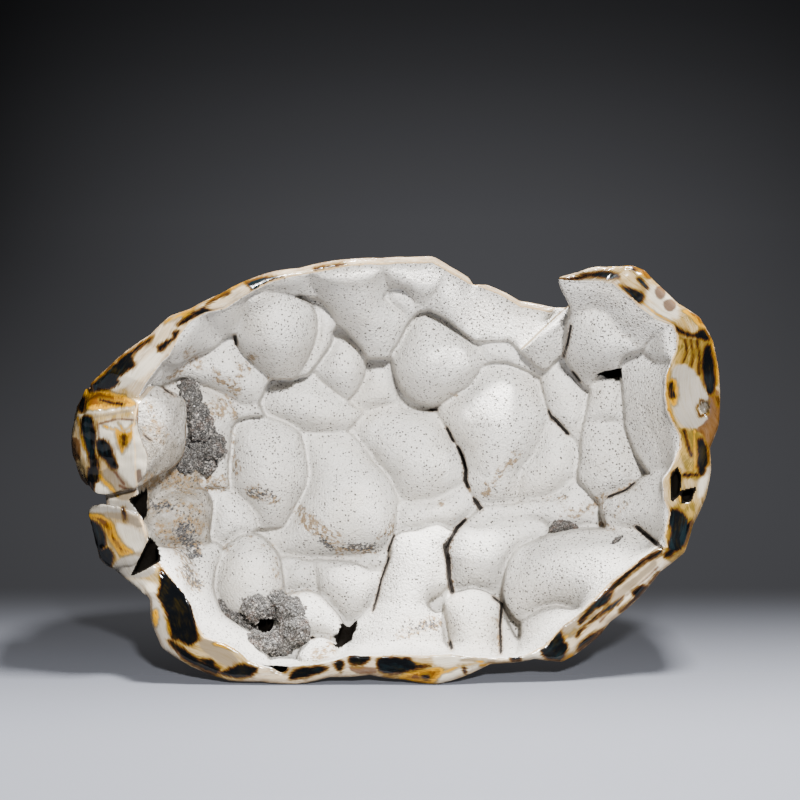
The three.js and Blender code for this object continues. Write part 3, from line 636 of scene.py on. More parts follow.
def puffed(labels):
    """How far each place of the map bulges, in pixels: a round lobe becomes half a ball."""
    swollen = None
    for size, rounds in PUFF_ROUNDS:
        here = labels[::size, ::size]
        if swollen is None:
            swollen = np.zeros(here.shape)
        else:
            swollen = np.repeat(np.repeat(swollen, 2, axis=0), 2, axis=1)[:here.shape[0], :here.shape[1]]
        wide = np.pad(here, 1, mode="edge")
        views = [(slice(1, -1), slice(2, None)), (slice(1, -1), slice(0, -2)),
                 (slice(2, None), slice(1, -1)), (slice(0, -2), slice(1, -1))]
        same = [wide[view] == here for view in views]
        held = np.maximum(sum((wide[view] != OPEN_AIR).astype(float) for view in views), 1)
        for _ in range(rounds):
            around = np.pad(swollen, 1, mode="edge")
            total = sum(np.where(alike, around[view], 0) for alike, view in zip(same, views))
            swollen = np.where(here == OPEN_AIR, 0, (total + 4 * size * size) / held)
    return np.sqrt(swollen)


def row_middle(labels, down, is_open, count):
    """Middle row of the lobe at each place of the map."""
    return (np.bincount(labels[is_open], down[is_open], minlength=len(LOBES) + 1) / count)[labels]


class HollowMap:
    """Depth, slant and lobes of the hollow's skin over the picture, with masks for its painted shade."""

    def __init__(self):
        left, top, right, bottom = MAP_BOX
        across, down = np.meshgrid(np.arange(left, right, dtype=float), np.arange(top, bottom, dtype=float))
        angle = np.arctan2(BOWL_MIDDLE[1] - down, across - BOWL_MIDDLE[0])
        reach = np.hypot(across - BOWL_MIDDLE[0], down - BOWL_MIDDLE[1]) * MM_PER_PIXEL
        rim = at_angle(OUTER, 2, angle).astype(float)
        near_wing = within_curve(np.array(WING_OPENING), across, down)
        is_open = (reach < at_angle(INNER, 1, angle)) | near_wing
        labels = label_lobes(across, down, is_open)
        stands_back = np.array([lobe[0] for lobe in LOBES] + [0.0])
        puff = np.array([lobe[1] for lobe in LOBES] + [0.0])
        on_wing = np.array([lobe[2] == "wing" for lobe in LOBES] + [False])[labels]
        wall = blurred(wall_depths(across, down), 8)
        slope = LEAST_SKIN_DEPTH + WING_STEEPNESS * line_distance(WING_RIM_LINE, across, down)
        before_wing = within_curve(np.array(WING_FRONT), across, down)
        rim = np.where(on_wing | near_wing | before_wing, 0, rim)
        count = np.maximum(np.bincount(labels[is_open], minlength=len(LOBES) + 1), 1)
        own = np.bincount(labels[is_open], wall[is_open], minlength=len(LOBES) + 1) / count
        level = own[labels] + OWN_TILT * (down - row_middle(labels, down, is_open, count)) * MM_PER_PIXEL
        part = OWN_GROUND * smoothstep(own[labels], 20, 40) * blurred(smoothstep(wall, 8, 28), 4)
        wall = wall + part * (level - wall)
        ground = np.where(on_wing, slope, wall)
        waves = 0.35 * ripple(across, down, 0, 60, 11) + 0.14 * ripple(across, down, 0, 22, 12)
        bulge = puffed(labels)
        peaks = np.ones(len(LOBES) + 1)
        np.maximum.at(peaks, labels[is_open], bulge[is_open])
        bulge *= 1 - DOME_SHARE + DOME_SHARE * bulge / peaks[labels]
        depth = ground + stands_back[labels] - PUFF_SHARE * puff[labels] * bulge * MM_PER_PIXEL + waves
        folds = strokes_field([(*fold, 0) for fold in FOLDS], across.ravel(), down.ravel())
        depth += FOLD_DEPTH * np.exp(-(folds.reshape(across.shape) / FOLD_WIDTH) ** 2)
        depth = smooth_max(depth, blurred(rim, 6) + LEAST_SKIN_DEPTH, 3)
        self.depth = blurred(np.where(is_open, depth, rim - BEFORE_FACE), 2)
        fall, run = np.gradient(self.depth, MM_PER_PIXEL)
        self.slant = np.sqrt(1 + fall ** 2 + run ** 2)
        wide = np.pad(labels, 1, mode="edge")
        border = (wide[1:-1, 2:] != labels) | (wide[2:, 1:-1] != labels)
        border = (border & is_open).astype(float)
        # Lines along the lobes' borders, where the creases lie; the finish darkens them as painted crease shade with a
        # slight tan
        line = np.minimum(blurred(border, 2) * 2.4, 1)
        # Painted shade: a broad halo beside the lobes' creases
        crease_shade_halo = np.minimum(blurred(border, 30) * 5, 1)
        # Painted shade: how far each lobe's surface faces down against its ground, so the finish can darken the
        # undersides
        own_fall = fall - np.gradient(blurred(ground, 12), MM_PER_PIXEL, axis=0)
        underside_shade = blurred(np.where(labels == OPEN_AIR, 0, np.clip(own_fall, 0, 1.2)), 3)
        self.layers = {"depth": self.depth, "slant": self.slant, "line": line, "crease_shade_halo": crease_shade_halo, "underside_shade": underside_shade}
        self.labels = labels

    def at(self, layer, across, down):
        """Value of a layer between the map's points; the places come as parts of the mouth's plane."""
        values = self.layers[layer]
        x = np.clip(PICTURE_MIDDLE + across / MM_PER_PIXEL - MAP_BOX[0], 0, values.shape[1] - 1.001)
        y = np.clip(PICTURE_MIDDLE - down / MM_PER_PIXEL - MAP_BOX[1], 0, values.shape[0] - 1.001)
        column, row = x.astype(int), y.astype(int)
        right, below = x - column, y - row
        top = values[row, column] * (1 - right) + values[row, column + 1] * right
        bottom = values[row + 1, column] * (1 - right) + values[row + 1, column + 1] * right
        return (top * (1 - below) + bottom * below).astype(np.float32)

    def lobe(self, across, rise):
        x = np.clip(PICTURE_MIDDLE + across / MM_PER_PIXEL - MAP_BOX[0], 0, self.labels.shape[1] - 1)
        y = np.clip(PICTURE_MIDDLE - rise / MM_PER_PIXEL - MAP_BOX[1], 0, self.labels.shape[0] - 1)
        return self.labels[y.astype(int), x.astype(int)]


def skin_field(places):
    """Field of the hollow's skin: positive in the open hollow, negative in the stone."""
    depth = HOLLOW.at("depth", places.across, places.rise)
    return (depth - places.depth) / HOLLOW.at("slant", places.across, places.rise)


def skin_depth(across, down):
    """Depth of the skin at a place in the picture."""
    place = (across - PICTURE_MIDDLE) * MM_PER_PIXEL, (PICTURE_MIDDLE - down) * MM_PER_PIXEL
    return float(HOLLOW.at("depth", *(np.array([part]) for part in place))[0])


# ---- From the field to a mesh

GRID_LOW = (-114.0, -97.0, -5.0)
GRID_HIGH = (110.5, 49.0, 80.5)
EDGE_ROUNDING = 2.2
INNER_ROUNDING = 0.9
LUMP_ROUNDING = 2.4
WING_ROUNDING = 0.7
FLAT_HEIGHT = REST_HEIGHT * math.cos(LEAN)


HOLLOW = HollowMap()


class Places:
    """Places in the mouth's frame, drawn to the mouth's plane: a whole grid, or single points."""

    def __init__(self, across, rise, depth, step=None):
        self.across, self.rise, self.depth, self.step = across, rise, depth, step

    @classmethod
    def grid(cls, step):
        rows = [np.arange(low, high, step, dtype=np.float32) for low, high in zip(GRID_LOW, GRID_HIGH)]
        return cls(rows[0][:, None, None], rows[1][None, :, None], rows[2][None, None, :], step)

    def near(self, low, high):
        """Index of what lies in a box."""
        if self.step:
            starts = [max(int((a - g) / self.step), 0) for a, g in zip(low, GRID_LOW)]
            ends = [max(int((b - g) / self.step) + 2, 0) for b, g in zip(high, GRID_LOW)]
            return tuple(slice(a, b) for a, b in zip(starts, ends))
        parts = (self.across, self.rise, self.depth)
        within = [(part > a) & (part < b) for part, a, b in zip(parts, low, high)]
        return np.flatnonzero(within[0] & within[1] & within[2])

    def at(self, index):
        """The three parts of the places at an index."""
        if not self.step:
            return self.across[index], self.rise[index], self.depth[index]
        return self.across[index[0]], self.rise[:, index[1]], self.depth[:, :, index[2]]


def box_round(points, pad):
    """Box in the places' own measure round points of the mouth's frame."""
    points = np.array(points, dtype=float)
    spread = 1 + points[:, 2:3] / EYE_DISTANCE
    flat = np.hstack([points[:, :2] / spread, points[:, 2:3]])
    return flat.min(axis=0) - pad, flat.max(axis=0) + pad


def blocks_field(places, blocks):
    """Field of some of the lumps or of the wing together."""
    rounding = WING_ROUNDING if blocks is WINGS else LUMP_ROUNDING
    shape = np.broadcast_shapes(places.across.shape, places.rise.shape, places.depth.shape)
    field = np.full(shape, 9, dtype=np.float32)
    for corners in blocks:
        index = places.near(*box_round([seen(*corner) for corner in corners], 3))
        across, rise, depth = places.at(index)
        shape = hull_field(hull_planes(corners), across, rise, depth, rounding)
        shape = shape + 0.35 * ripple(across, rise, depth, 9, 21) + 0.15 * ripple(across, rise, depth, 3.5, 22)
        field[index] = np.minimum(field[index], shape)
    return field


def stone_field(places):
    side, face = body_fields(places.across, places.rise, places.depth)
    body = np.minimum(smooth_max(side, face, EDGE_ROUNDING), blocks_field(places, WINGS))
    stone = smooth_max(body, skin_field(places), INNER_ROUNDING)
    stone = np.minimum(stone, blocks_field(places, LUMPS))
    for (outline, depths), planes in zip(GAPS, GAP_PLANES):
        corners = [seen(x, y, depth) for depth in depths for x, y in outline]
        index = places.near(*box_round(corners, 2))
        stone[index] = np.maximum(stone[index], -hull_field(planes, *places.at(index), 0.6))
    across, down, radius = CRUST_HOLE
    middle = seen(across, down, 0)
    index = places.near(*box_round([seen(across, down, 8), seen(across, down, 34)], radius + 2))
    x, y, depth = places.at(index)
    pit = np.maximum(np.hypot(x - middle[0], y - middle[1]) - radius, np.abs(depth - 21) - 13)
    stone[index] = np.maximum(stone[index], -pit)
    spread = 1 + places.depth / EYE_DISTANCE
    height = places.rise * spread * math.cos(LEAN) - places.depth * math.sin(LEAN)
    return np.maximum(stone, FLAT_HEIGHT - height).astype(np.float32)


def standing(points):
    """Points of the mouth's frame, in millimetres, where they stand in the scene, in metres."""
    points = np.asarray(points, dtype=float)
    across, rise, depth = points[:, 0], points[:, 1], points[:, 2]
    back = rise * math.sin(LEAN) + depth * math.cos(LEAN)
    height = rise * math.cos(LEAN) - depth * math.sin(LEAN)
    return (np.stack([across, back, height], axis=1) + np.array(STONE_SHIFT)) / 1000


def new_object(name, points, faces, smooth=True):
    mesh = bpy.data.meshes.new(name)
    mesh.from_pydata([tuple(point) for point in points], [], [tuple(face) for face in faces])
    mesh.validate()
    mesh.polygons.foreach_set("use_smooth", [smooth] * len(mesh.polygons))
    mesh.update()
    piece = bpy.data.objects.new(name, mesh)
    bpy.context.scene.collection.objects.link(piece)
    return piece


def applied(piece, kind, **settings):
    """The piece with one modifier applied to its mesh."""
    modifier = piece.modifiers.new(kind.title(), kind)
    for key, value in settings.items():
        setattr(modifier, key, value)
    bpy.context.view_layer.update()
    shaped = piece.evaluated_get(bpy.context.evaluated_depsgraph_get())
    mesh = bpy.data.meshes.new_from_object(shaped)
    piece.modifiers.clear()
    old = piece.data
    piece.data = mesh
    bpy.data.meshes.remove(old)
    return piece


def points_of(mesh):
    flat = np.empty(len(mesh.vertices) * 3, dtype=np.float32)
    mesh.vertices.foreach_get("co", flat)
    return flat.reshape(-1, 3)


def largest_part(points, faces):
    """The faces of the biggest connected part, and only the points that they use."""
    label = np.arange(len(points))
    while True:
        lowest = label[faces].min(axis=1)
        fresh = label.copy()
        for corner in range(faces.shape[1]):
            np.minimum.at(fresh, faces[:, corner], lowest)
        fresh = fresh[fresh]
        if np.array_equal(fresh, label):
            break
        label = fresh
    names, counts = np.unique(label[faces[:, 0]], return_counts=True)
    kept = faces[label[faces[:, 0]] == names[counts.argmax()]]
    used, renumbered = np.unique(kept, return_inverse=True)
    return points[used], renumbered.reshape(kept.shape)


def polygonised(field, step):
    """Points in the places' own measure and quads of the field's zero surface."""
    band = 3 * step
    grid = vdb.FloatGrid(band)
    grid.copyFromArray(np.ascontiguousarray(np.clip(field, -band, band), dtype=np.float32))
    points, triangles, quads = grid.convertToPolygons(isovalue=0.0, adaptivity=0.0)
    points = np.array(GRID_LOW) + points * step
    if len(triangles):
        quads = np.vstack([quads, np.hstack([triangles, triangles[:, 2:]])])
    return largest_part(points, quads)


def in_mouth_frame(flat):
    """Points of the mouth's frame from points drawn to the mouth's plane."""
    spread = 1 + flat[:, 2:3] / EYE_DISTANCE
    return np.hstack([flat[:, :2] * spread, flat[:, 2:3]])


def drawn_flat(points):
    spread = 1 + points[:, 2:3] / EYE_DISTANCE
    return np.hstack([points[:, :2] / spread, points[:, 2:3]])


# ---- Colours of the rim: patches by their outlines in the picture, and thin lines with their half widths

PATCHES = {
    "honey": [
        [(606, 262), (640, 262), (664, 282), (696, 306), (720, 334), (724, 380), (724, 430), (716, 460),
         (716, 480), (704, 512), (690, 548), (668, 560), (662, 548), (668, 520), (666, 495), (664, 475), (680, 450),
         (672, 425), (664, 405), (662, 385), (668, 360), (674, 345), (668, 328), (650, 304), (625, 286)],
        [(140, 570), (170, 568), (196, 604), (206, 638), (240, 652), (250, 668), (236, 684), (200, 676),
         (160, 650), (146, 610)],
        [(70, 392), (110, 384), (138, 396), (136, 416), (100, 422), (100, 450), (116, 470), (96, 486), (66, 450)],
        [(84, 508), (120, 512), (134, 540), (118, 574), (92, 556)],
        [(380, 664), (440, 660), (446, 686), (396, 686)],
    ],
    "black": [
        [(87, 392), (93, 382), (105, 374), (107, 365), (115, 363), (120, 357), (132, 350), (143, 342), (153, 336),
         (150, 341), (140, 348), (132, 357), (135, 365), (130, 370), (118, 378), (120, 383), (110, 389), (98, 391)],
        [(160, 352), (157, 347), (163, 342), (172, 338), (173, 332), (180, 330), (177, 337), (170, 343), (165, 348)],
        [(177, 325), (182, 320), (193, 312), (203, 307), (210, 300), (227, 292), (228, 294), (210, 304), (205, 308),
         (218, 313), (207, 314), (195, 317), (187, 323), (179, 326)],
        [(245, 282), (248, 281), (267, 277), (283, 277), (270, 281), (260, 287), (255, 291), (250, 289), (247, 285)],
        [(77, 400), (86, 396), (86, 408), (82, 414), (78, 410)],
        [(82, 416), (92, 418), (96, 432), (95, 446), (98, 462), (97, 476), (93, 492), (89, 484), (90, 468),
         (86, 448), (81, 432)],
        [(88, 468), (98, 468), (98, 482), (93, 483), (93, 496), (87, 496)],
        [(88, 521), (97, 522), (104, 532), (106, 545), (100, 552), (94, 546), (88, 532)],
        [(98, 552), (108, 548), (114, 556), (110, 568), (102, 564)],
        [(97, 440), (105, 440), (111, 447), (114, 456), (118, 467), (112, 469), (107, 462), (100, 456), (96, 448)],
        [(160, 570), (166, 572), (178, 582), (188, 596), (194, 610), (198, 636), (196, 642), (188, 646), (178, 640),
         (172, 638), (168, 620), (162, 604), (158, 596), (160, 584)],
        [(168, 640), (180, 656), (196, 668), (212, 676), (220, 668), (200, 660), (184, 648)],
        [(200, 660), (212, 660), (220, 672), (240, 664), (258, 668), (250, 676), (236, 678), (224, 676), (212, 670)],
        [(294, 670), (312, 666), (328, 668), (312, 676), (290, 680)],
        [(277, 667), (287, 667), (285, 672)],
        [(334, 664), (340, 659), (344, 664), (340, 672)],
        [(350, 656), (369, 653), (368, 662), (360, 665), (350, 664)],
        [(378, 659), (390, 656), (410, 658), (416, 664), (430, 666), (416, 670), (396, 674), (382, 673), (377, 666)],
        [(421, 677), (426, 675), (430, 677), (426, 680)],
        [(510, 648), (520, 650), (520, 662), (512, 664)],
        [(540, 648), (556, 636), (560, 630), (564, 640), (568, 648), (560, 662), (548, 660)],
        [(577, 637), (593, 620), (610, 610), (620, 602), (623, 597), (613, 603), (600, 613), (587, 623), (578, 632)],
        [(592, 607), (603, 597), (613, 590), (607, 603), (598, 608)],
        [(632, 593), (637, 587), (645, 585), (652, 587), (647, 593), (637, 600), (623, 612), (620, 610), (633, 598)],
        [(577, 650), (583, 640), (593, 633), (607, 627), (603, 632), (593, 642), (583, 650), (578, 652)],
        [(672, 473), (677, 473), (678, 490), (675, 498), (672, 490)],
        [(667, 516), (675, 508), (684, 514), (690, 526), (688, 540), (677, 552), (668, 549), (671, 532)],
        [(683, 527), (692, 520), (690, 533), (685, 542)],
        [(663, 555), (670, 548), (678, 545), (673, 555), (667, 558)],
        [(698, 450), (705, 450), (705, 473), (698, 473)],
        [(697, 441), (703, 438), (709, 455), (707, 466), (700, 469)],
        [(703, 352), (709, 343), (714, 360), (716, 380), (713, 394), (706, 392), (702, 372)],
        [(558, 279), (573, 277), (590, 273), (606, 271), (618, 275), (612, 280), (596, 277), (575, 280)],
        [(674, 325), (681, 329), (693, 334), (703, 329), (710, 335), (709, 341), (696, 338), (683, 335), (676, 331)],
        [(621, 286), (631, 288), (643, 294), (643, 301), (637, 303), (630, 296)],
        [(574, 276), (589, 273), (610, 272), (620, 276), (614, 279), (589, 277)],
        [(630, 266), (637, 268), (637, 271), (631, 270)],
    ],
    "gold": [
        [(80, 390), (88, 386), (93, 392), (88, 400), (80, 399)],
        [(183, 314), (193, 313), (191, 320), (184, 320)],
        [(88, 392), (100, 389), (118, 394), (134, 400), (135, 406), (118, 407), (100, 410), (86, 408), (82, 400)],
        [(115, 428), (124, 433), (132, 431), (131, 440), (126, 447), (122, 454), (118, 444)],
        [(110, 460), (114, 459), (115, 465), (111, 466)],
        [(88, 514), (100, 515), (112, 522), (116, 534), (124, 545), (134, 552), (122, 555), (112, 546), (106, 534),
         (98, 524), (90, 520)],
        [(168, 622), (172, 618), (176, 624), (176, 632), (172, 636), (168, 631)],
        [(153, 612), (158, 610), (158, 624), (154, 626)],
        [(398, 676), (420, 670), (440, 667), (442, 674), (430, 684), (410, 683)],
        [(563, 662), (570, 655), (575, 652), (570, 660)],
        [(669, 381), (677, 381), (677, 404), (671, 404), (669, 395)],
        [(637, 268), (645, 270), (649, 278), (641, 276)],
        [(683, 311), (695, 309), (708, 320), (710, 330), (700, 326), (690, 316)],
        [(711, 334), (717, 340), (720, 360), (719, 384), (713, 380), (712, 355)],
    ],
    "brown": [
        [(69, 440), (76, 438), (80, 446), (80, 458), (73, 460)],
        [(136, 471), (141, 470), (142, 480), (137, 482)],
        [(709, 392), (719, 392), (720, 426), (717, 435), (703, 434), (696, 429), (707, 419)],
        [(664, 302), (670, 299), (676, 303), (675, 309), (669, 312), (664, 307)],
        [(655, 289), (660, 286), (665, 290), (665, 296), (660, 299), (656, 295)],
        [(632, 265), (644, 268), (651, 277), (648, 279), (641, 272), (633, 269)],
        [(683, 493), (693, 494), (688, 502)],
        [(350, 668), (362, 667), (376, 668), (374, 673), (356, 673)],
        [(703, 433), (714, 432), (713, 455), (708, 452)],
        [(637, 588), (648, 587), (644, 592), (638, 592)],
    ],
    "taupe": [
        [(198, 640), (214, 642), (236, 656), (236, 670), (222, 664), (204, 652)],
        [(560, 630), (575, 613), (590, 601), (606, 587), (612, 594), (602, 608), (588, 622), (572, 638)],
        [(603, 604), (624, 586), (645, 568), (654, 560), (657, 566), (644, 578), (628, 592), (608, 612)],
        [(104, 470), (120, 468), (134, 480), (132, 500), (112, 498), (104, 486)],
        [(88, 504), (120, 502), (144, 508), (142, 528), (120, 520), (90, 514)],
        [(114, 566), (126, 556), (146, 548), (150, 560), (130, 572), (120, 580)],
        [(452, 652), (474, 650), (496, 652), (494, 661), (470, 662), (452, 660)],
        [(266, 656), (285, 652), (304, 656), (302, 674), (284, 676), (268, 670)],
    ],
    "pearl": [
        [(673, 370), (682, 364), (694, 370), (703, 384), (711, 395), (712, 412), (706, 423), (695, 428),
         (683, 426), (675, 414), (671, 392)],
        [(146, 596), (158, 594), (162, 612), (170, 636), (182, 654), (176, 660), (160, 646), (150, 624)],
        [(87, 502), (120, 500), (142, 505), (140, 514), (112, 512), (90, 512)],
        [(112, 566), (130, 556), (150, 560), (154, 574), (130, 578)],
    ],
    "olive": [
        [(677, 336), (692, 339), (706, 336), (714, 350), (717, 380), (713, 398), (704, 386), (696, 372),
         (684, 364), (674, 364), (677, 350)],
        [(676, 428), (694, 430), (706, 434), (704, 470), (694, 482), (683, 466), (677, 444)],
        [(664, 540), (670, 510), (684, 500), (696, 504), (692, 530), (684, 556), (668, 562)],
        [(162, 574), (172, 590), (182, 612), (186, 640), (178, 640), (170, 612), (162, 596)],
    ],
    "pale": [
        [(98, 428), (110, 423), (136, 420), (140, 434), (146, 448), (149, 464), (146, 478), (136, 489), (126, 480),
         (118, 470), (116, 460), (112, 446), (100, 442)],
        [(78, 418), (82, 420), (86, 448), (96, 468), (104, 480), (118, 498), (114, 502), (96, 500), (92, 484),
         (90, 468), (82, 450), (77, 426)],
        [(117, 524), (132, 527), (145, 538), (142, 550), (132, 550), (122, 538)],
        [(126, 582), (144, 580), (164, 590), (162, 604), (144, 602), (128, 592)],
        [(442, 674), (458, 666), (484, 661), (484, 668), (460, 674), (450, 684), (438, 684)],
        [(434, 656), (458, 656), (456, 664), (438, 666)],
        [(518, 650), (532, 648), (548, 650), (546, 657), (530, 660), (518, 658)],
        [(613, 605), (632, 590), (650, 574), (663, 561), (661, 569), (646, 582), (626, 600), (615, 609)],
        [(699, 480), (711, 466), (707, 488), (699, 497)],
        [(646, 286), (660, 288), (676, 302), (679, 318), (668, 316), (656, 306), (648, 298)],
        [(640, 303), (654, 304), (671, 316), (668, 324), (654, 318), (642, 310)],
        [(120, 372), (136, 366), (156, 350), (164, 356), (146, 374), (126, 386), (112, 390)],
        [(182, 336), (196, 324), (206, 316), (196, 328), (186, 340)],
    ],
}
RIM_LINES = {
    "honey": [],
    "black": [
        ([(580, 622), (596, 604), (612, 588), (628, 573), (645, 560), (660, 552)], 2.3), ([(650, 583), (658, 573)], 1),
        ([(684, 431), (691, 455)], 1.4), ([(101, 400), (112, 403), (122, 404)], 1.6), ([(124, 437), (124, 444)], 1.8),
        ([(671, 388), (674, 396)], 1.4), ([(639, 279), (647, 288)], 1.6), ([(685, 475), (697, 475)], 1.8),
        ([(315, 269), (345, 264)], 1), ([(123, 508), (125, 519)], 1.4), ([(88, 425), (90, 455)], 1.4),
        ([(697, 408), (701, 400), (708, 402), (708, 414), (700, 416), (697, 409)], 0.5),
        ([(685, 340), (687, 352), (684, 362)], 0.5), ([(691, 340), (693, 356), (691, 366)], 0.5),
        ([(697, 341), (700, 360), (699, 374)], 0.9), ([(671, 384), (671, 396)], 2.2),
        ([(718, 398), (719, 404)], 1.6), ([(464, 668), (465, 672)], 1.6), ([(546, 645), (527, 650)], 1),
    ],
    "gold": [
        ([(163, 323), (180, 315), (203, 303), (227, 290), (247, 281)], 1.1), ([(79, 393), (92, 381), (105, 371)], 1.5),
        ([(160, 590), (165, 604), (172, 620)], 1.6), ([(200, 669), (220, 678)], 1.4), ([(480, 665), (520, 665)], 1),
         ([(668, 364), (667, 395), (673, 426)], 1.8),
        ([(694, 432), (696, 469)], 1.4), ([(679, 470), (681, 500)], 1.2), ([(440, 674), (458, 667), (482, 662)], 1),
        ([(78, 418), (84, 446), (94, 468), (106, 484)], 1.1), ([(101, 478), (118, 496)], 1), ([(112, 463), (112, 465)], 2.2),
        ([(118, 423), (124, 431), (134, 424)], 0.6), ([(104, 426), (114, 430)], 0.7), ([(130, 426), (132, 434)], 0.6),
        ([(620, 285), (640, 300), (655, 313), (674, 324)], 0.8), ([(626, 266), (640, 269)], 1.2),
        ([(216, 644), (236, 648)], 1.6), ([(243, 668), (247, 675)], 1.2), ([(556, 645), (575, 630)], 1),
    ],
    "brown": [
        ([(136, 404), (139, 428), (143, 442), (149, 455), (149, 468), (142, 483), (134, 492), (120, 486)], 0.9),
        ([(98, 424), (118, 419), (135, 420)], 0.7), ([(98, 424), (100, 446), (112, 468), (124, 484)], 0.8),
        ([(168, 356), (161, 366), (141, 394)], 0.6), ([(158, 562), (186, 592), (194, 606), (199, 626), (224, 642)], 0.9),
        ([(241, 650), (265, 666), (300, 664)], 0.8), ([(545, 645), (562, 626), (610, 583), (640, 559)], 0.9),
        ([(660, 291), (661, 293)], 2.6), ([(669, 303), (671, 305)], 3.2),
        ([(600, 622), (618, 603), (640, 584), (658, 567)], 0.8), ([(184, 596), (190, 612), (192, 636)], 0.8), ([(666, 410), (680, 436), (680, 448)], 0.8),
    ],
    "taupe": [
        ([(697, 392), (691, 398), (688, 408), (690, 418), (697, 425)], 0.5),
        ([(690, 380), (682, 390), (679, 405), (681, 418), (688, 427)], 0.5),
        ([(684, 372), (677, 384), (674, 400), (676, 416)], 0.4),
        ([(82, 421), (96, 417), (112, 414), (134, 410)], 1.0),
    ],
    "pearl": [],
    "olive": [([(676, 516), (678, 540)], 1.2), ([(666, 372), (664, 395), (671, 421), (679, 433)], 2.2)],
    "pale": [
        ([(556, 278), (575, 281), (600, 281), (612, 284), (620, 291), (640, 306)], 0.9), ([(690, 402), (693, 414)], 1),
        ([(79, 416), (90, 412), (104, 412), (120, 408), (135, 406)], 1.3),
    ],
}
# Ochre stains as strokes from one place of the picture to another, with their half widths; the broad strokes just
# under the upper lump partly paint that lump's shadow
STAIN_AND_SHADOW_STROKES = [
    (156, 482, 176, 486, 6), (150, 505, 168, 509, 6), (182, 520, 200, 530, 9), (184, 556, 196, 585, 7),
    (170, 545, 176, 552, 5), (216, 372, 232, 392, 6), (186, 352, 200, 362, 5), (222, 398, 234, 416, 5),
    (302, 515, 340, 548, 9), (340, 548, 375, 552, 6), (378, 545, 396, 518, 3), (250, 490, 274, 500, 6),
    (230, 432, 239, 473, 2.5), (152, 505, 200, 508, 6), (160, 530, 195, 550, 8), (180, 572, 198, 584, 6),
    (402, 632, 436, 622, 7), (202, 412, 224, 412, 9), (232, 396, 250, 356, 5), (170, 378, 200, 362, 5),
    (486, 492, 518, 450, 5), (566, 512, 600, 503, 6), (604, 525, 625, 503, 4), (226, 550, 250, 538, 2),
    (250, 538, 271, 549, 2), (271, 549, 284, 592, 2), (284, 592, 310, 592, 2), (150, 480, 222, 482, 10),
    (145, 428, 168, 436, 3), (148, 402, 158, 418, 3), (497, 618, 498, 654, 3), (318, 655, 330, 648, 9),
    (462, 458, 467, 486, 3), (447, 545, 452, 590, 3), (609, 496, 634, 484, 3), (600, 520, 615, 530, 3),
    (452, 396, 456, 400, 2), (268, 380, 293, 381, 2), (440, 500, 452, 520, 2), (545, 500, 566, 500, 3),
]
SPECK_STROKES = [
    (184, 522, 194, 536, 5), (152, 500, 158, 512, 4), (190, 540, 196, 548, 3),
    (321, 540, 331, 548, 6), (346, 546, 374, 548, 6), (152, 505, 172, 507, 5), (180, 530, 195, 555, 8),
    (186, 570, 198, 584, 6), (405, 628, 432, 624, 5), (250, 492, 270, 496, 5), (206, 449, 213, 460, 6),
    (396, 537, 400, 540, 2), (410, 626, 414, 628, 2.5),
]
STROKES = {"stain_and_shadow": STAIN_AND_SHADOW_STROKES, "speck": SPECK_STROKES}
PATCH_REACH = 7.0
EYE_MIDDLE = (703, 406)


def patches_field(patches, lines, across, down):
    """How far inside the nearest patch or line each place of the picture lies, in pixels."""
    inside = np.full(across.shape, -PATCH_REACH, dtype=np.float32)
    shapes = [(closed_curve(outline, 3), None) for outline in patches]
    shapes += [(np.array(line, dtype=float), half) for line, half in lines]
    for curve, half in shapes:
        low, high = curve.min(axis=0) - PATCH_REACH, curve.max(axis=0) + PATCH_REACH
        near = np.flatnonzero((across > low[0]) & (across < high[0]) & (down > low[1]) & (down < high[1]))
        x, y = across[near], down[near]
        if half is None:
            away = line_distance(np.vstack([curve, curve[:1]]), x, y)
            depth = np.where(within_curve(curve, x, y), away, -away)
        else:
            depth = half - line_distance(curve, x, y)
        inside[near] = np.maximum(inside[near], depth)
    return inside

# Skin of single lobes: a place in the picture on each, how many pits it has and how grey it is; the grey of the lobe
# under the upper lump partly paints that lump's shadow
SKIN_KINDS = [
    (268, 330, 0.7, 0.04), (600, 340, 0.9, 0.04), (645, 390, 0.85, 0.04), (590, 295, 0.95, 0.2), (560, 590, 0.8, 0.04),
    (430, 360, 0.65, 0.04), (520, 320, 0.8, 0.08), (470, 290, 0.85, 0.06), (420, 280, 0.65, 0.06), (345, 290, 0.55, 0.0),
    (590, 400, 0.75, 0.05), (605, 455, 0.75, 0.25), (655, 340, 0.85, 0.12), (345, 600, 0.5, 0), (470, 610, 0.5, 0.05),
    (262, 460, 0.55, 0.05), (505, 400, 0.6, 0), (620, 420, 0.85, 0.1), (640, 450, 0.8, 0.1), (655, 490, 0.75, 0),
    (200, 340, 0.5, 0.1), (330, 390, 0.45, 0.05), (400, 540, 0.4, 0), (190, 600, 0.55, 0.05), (180, 478, 0.6, 0.9),
    (195, 520, 0.6, 0.8), (230, 375, 0.45, 0.1), (205, 430, 0.5, 0.3), (370, 275, 0.55, 0.04), (540, 330, 0.65, 0.1),
]

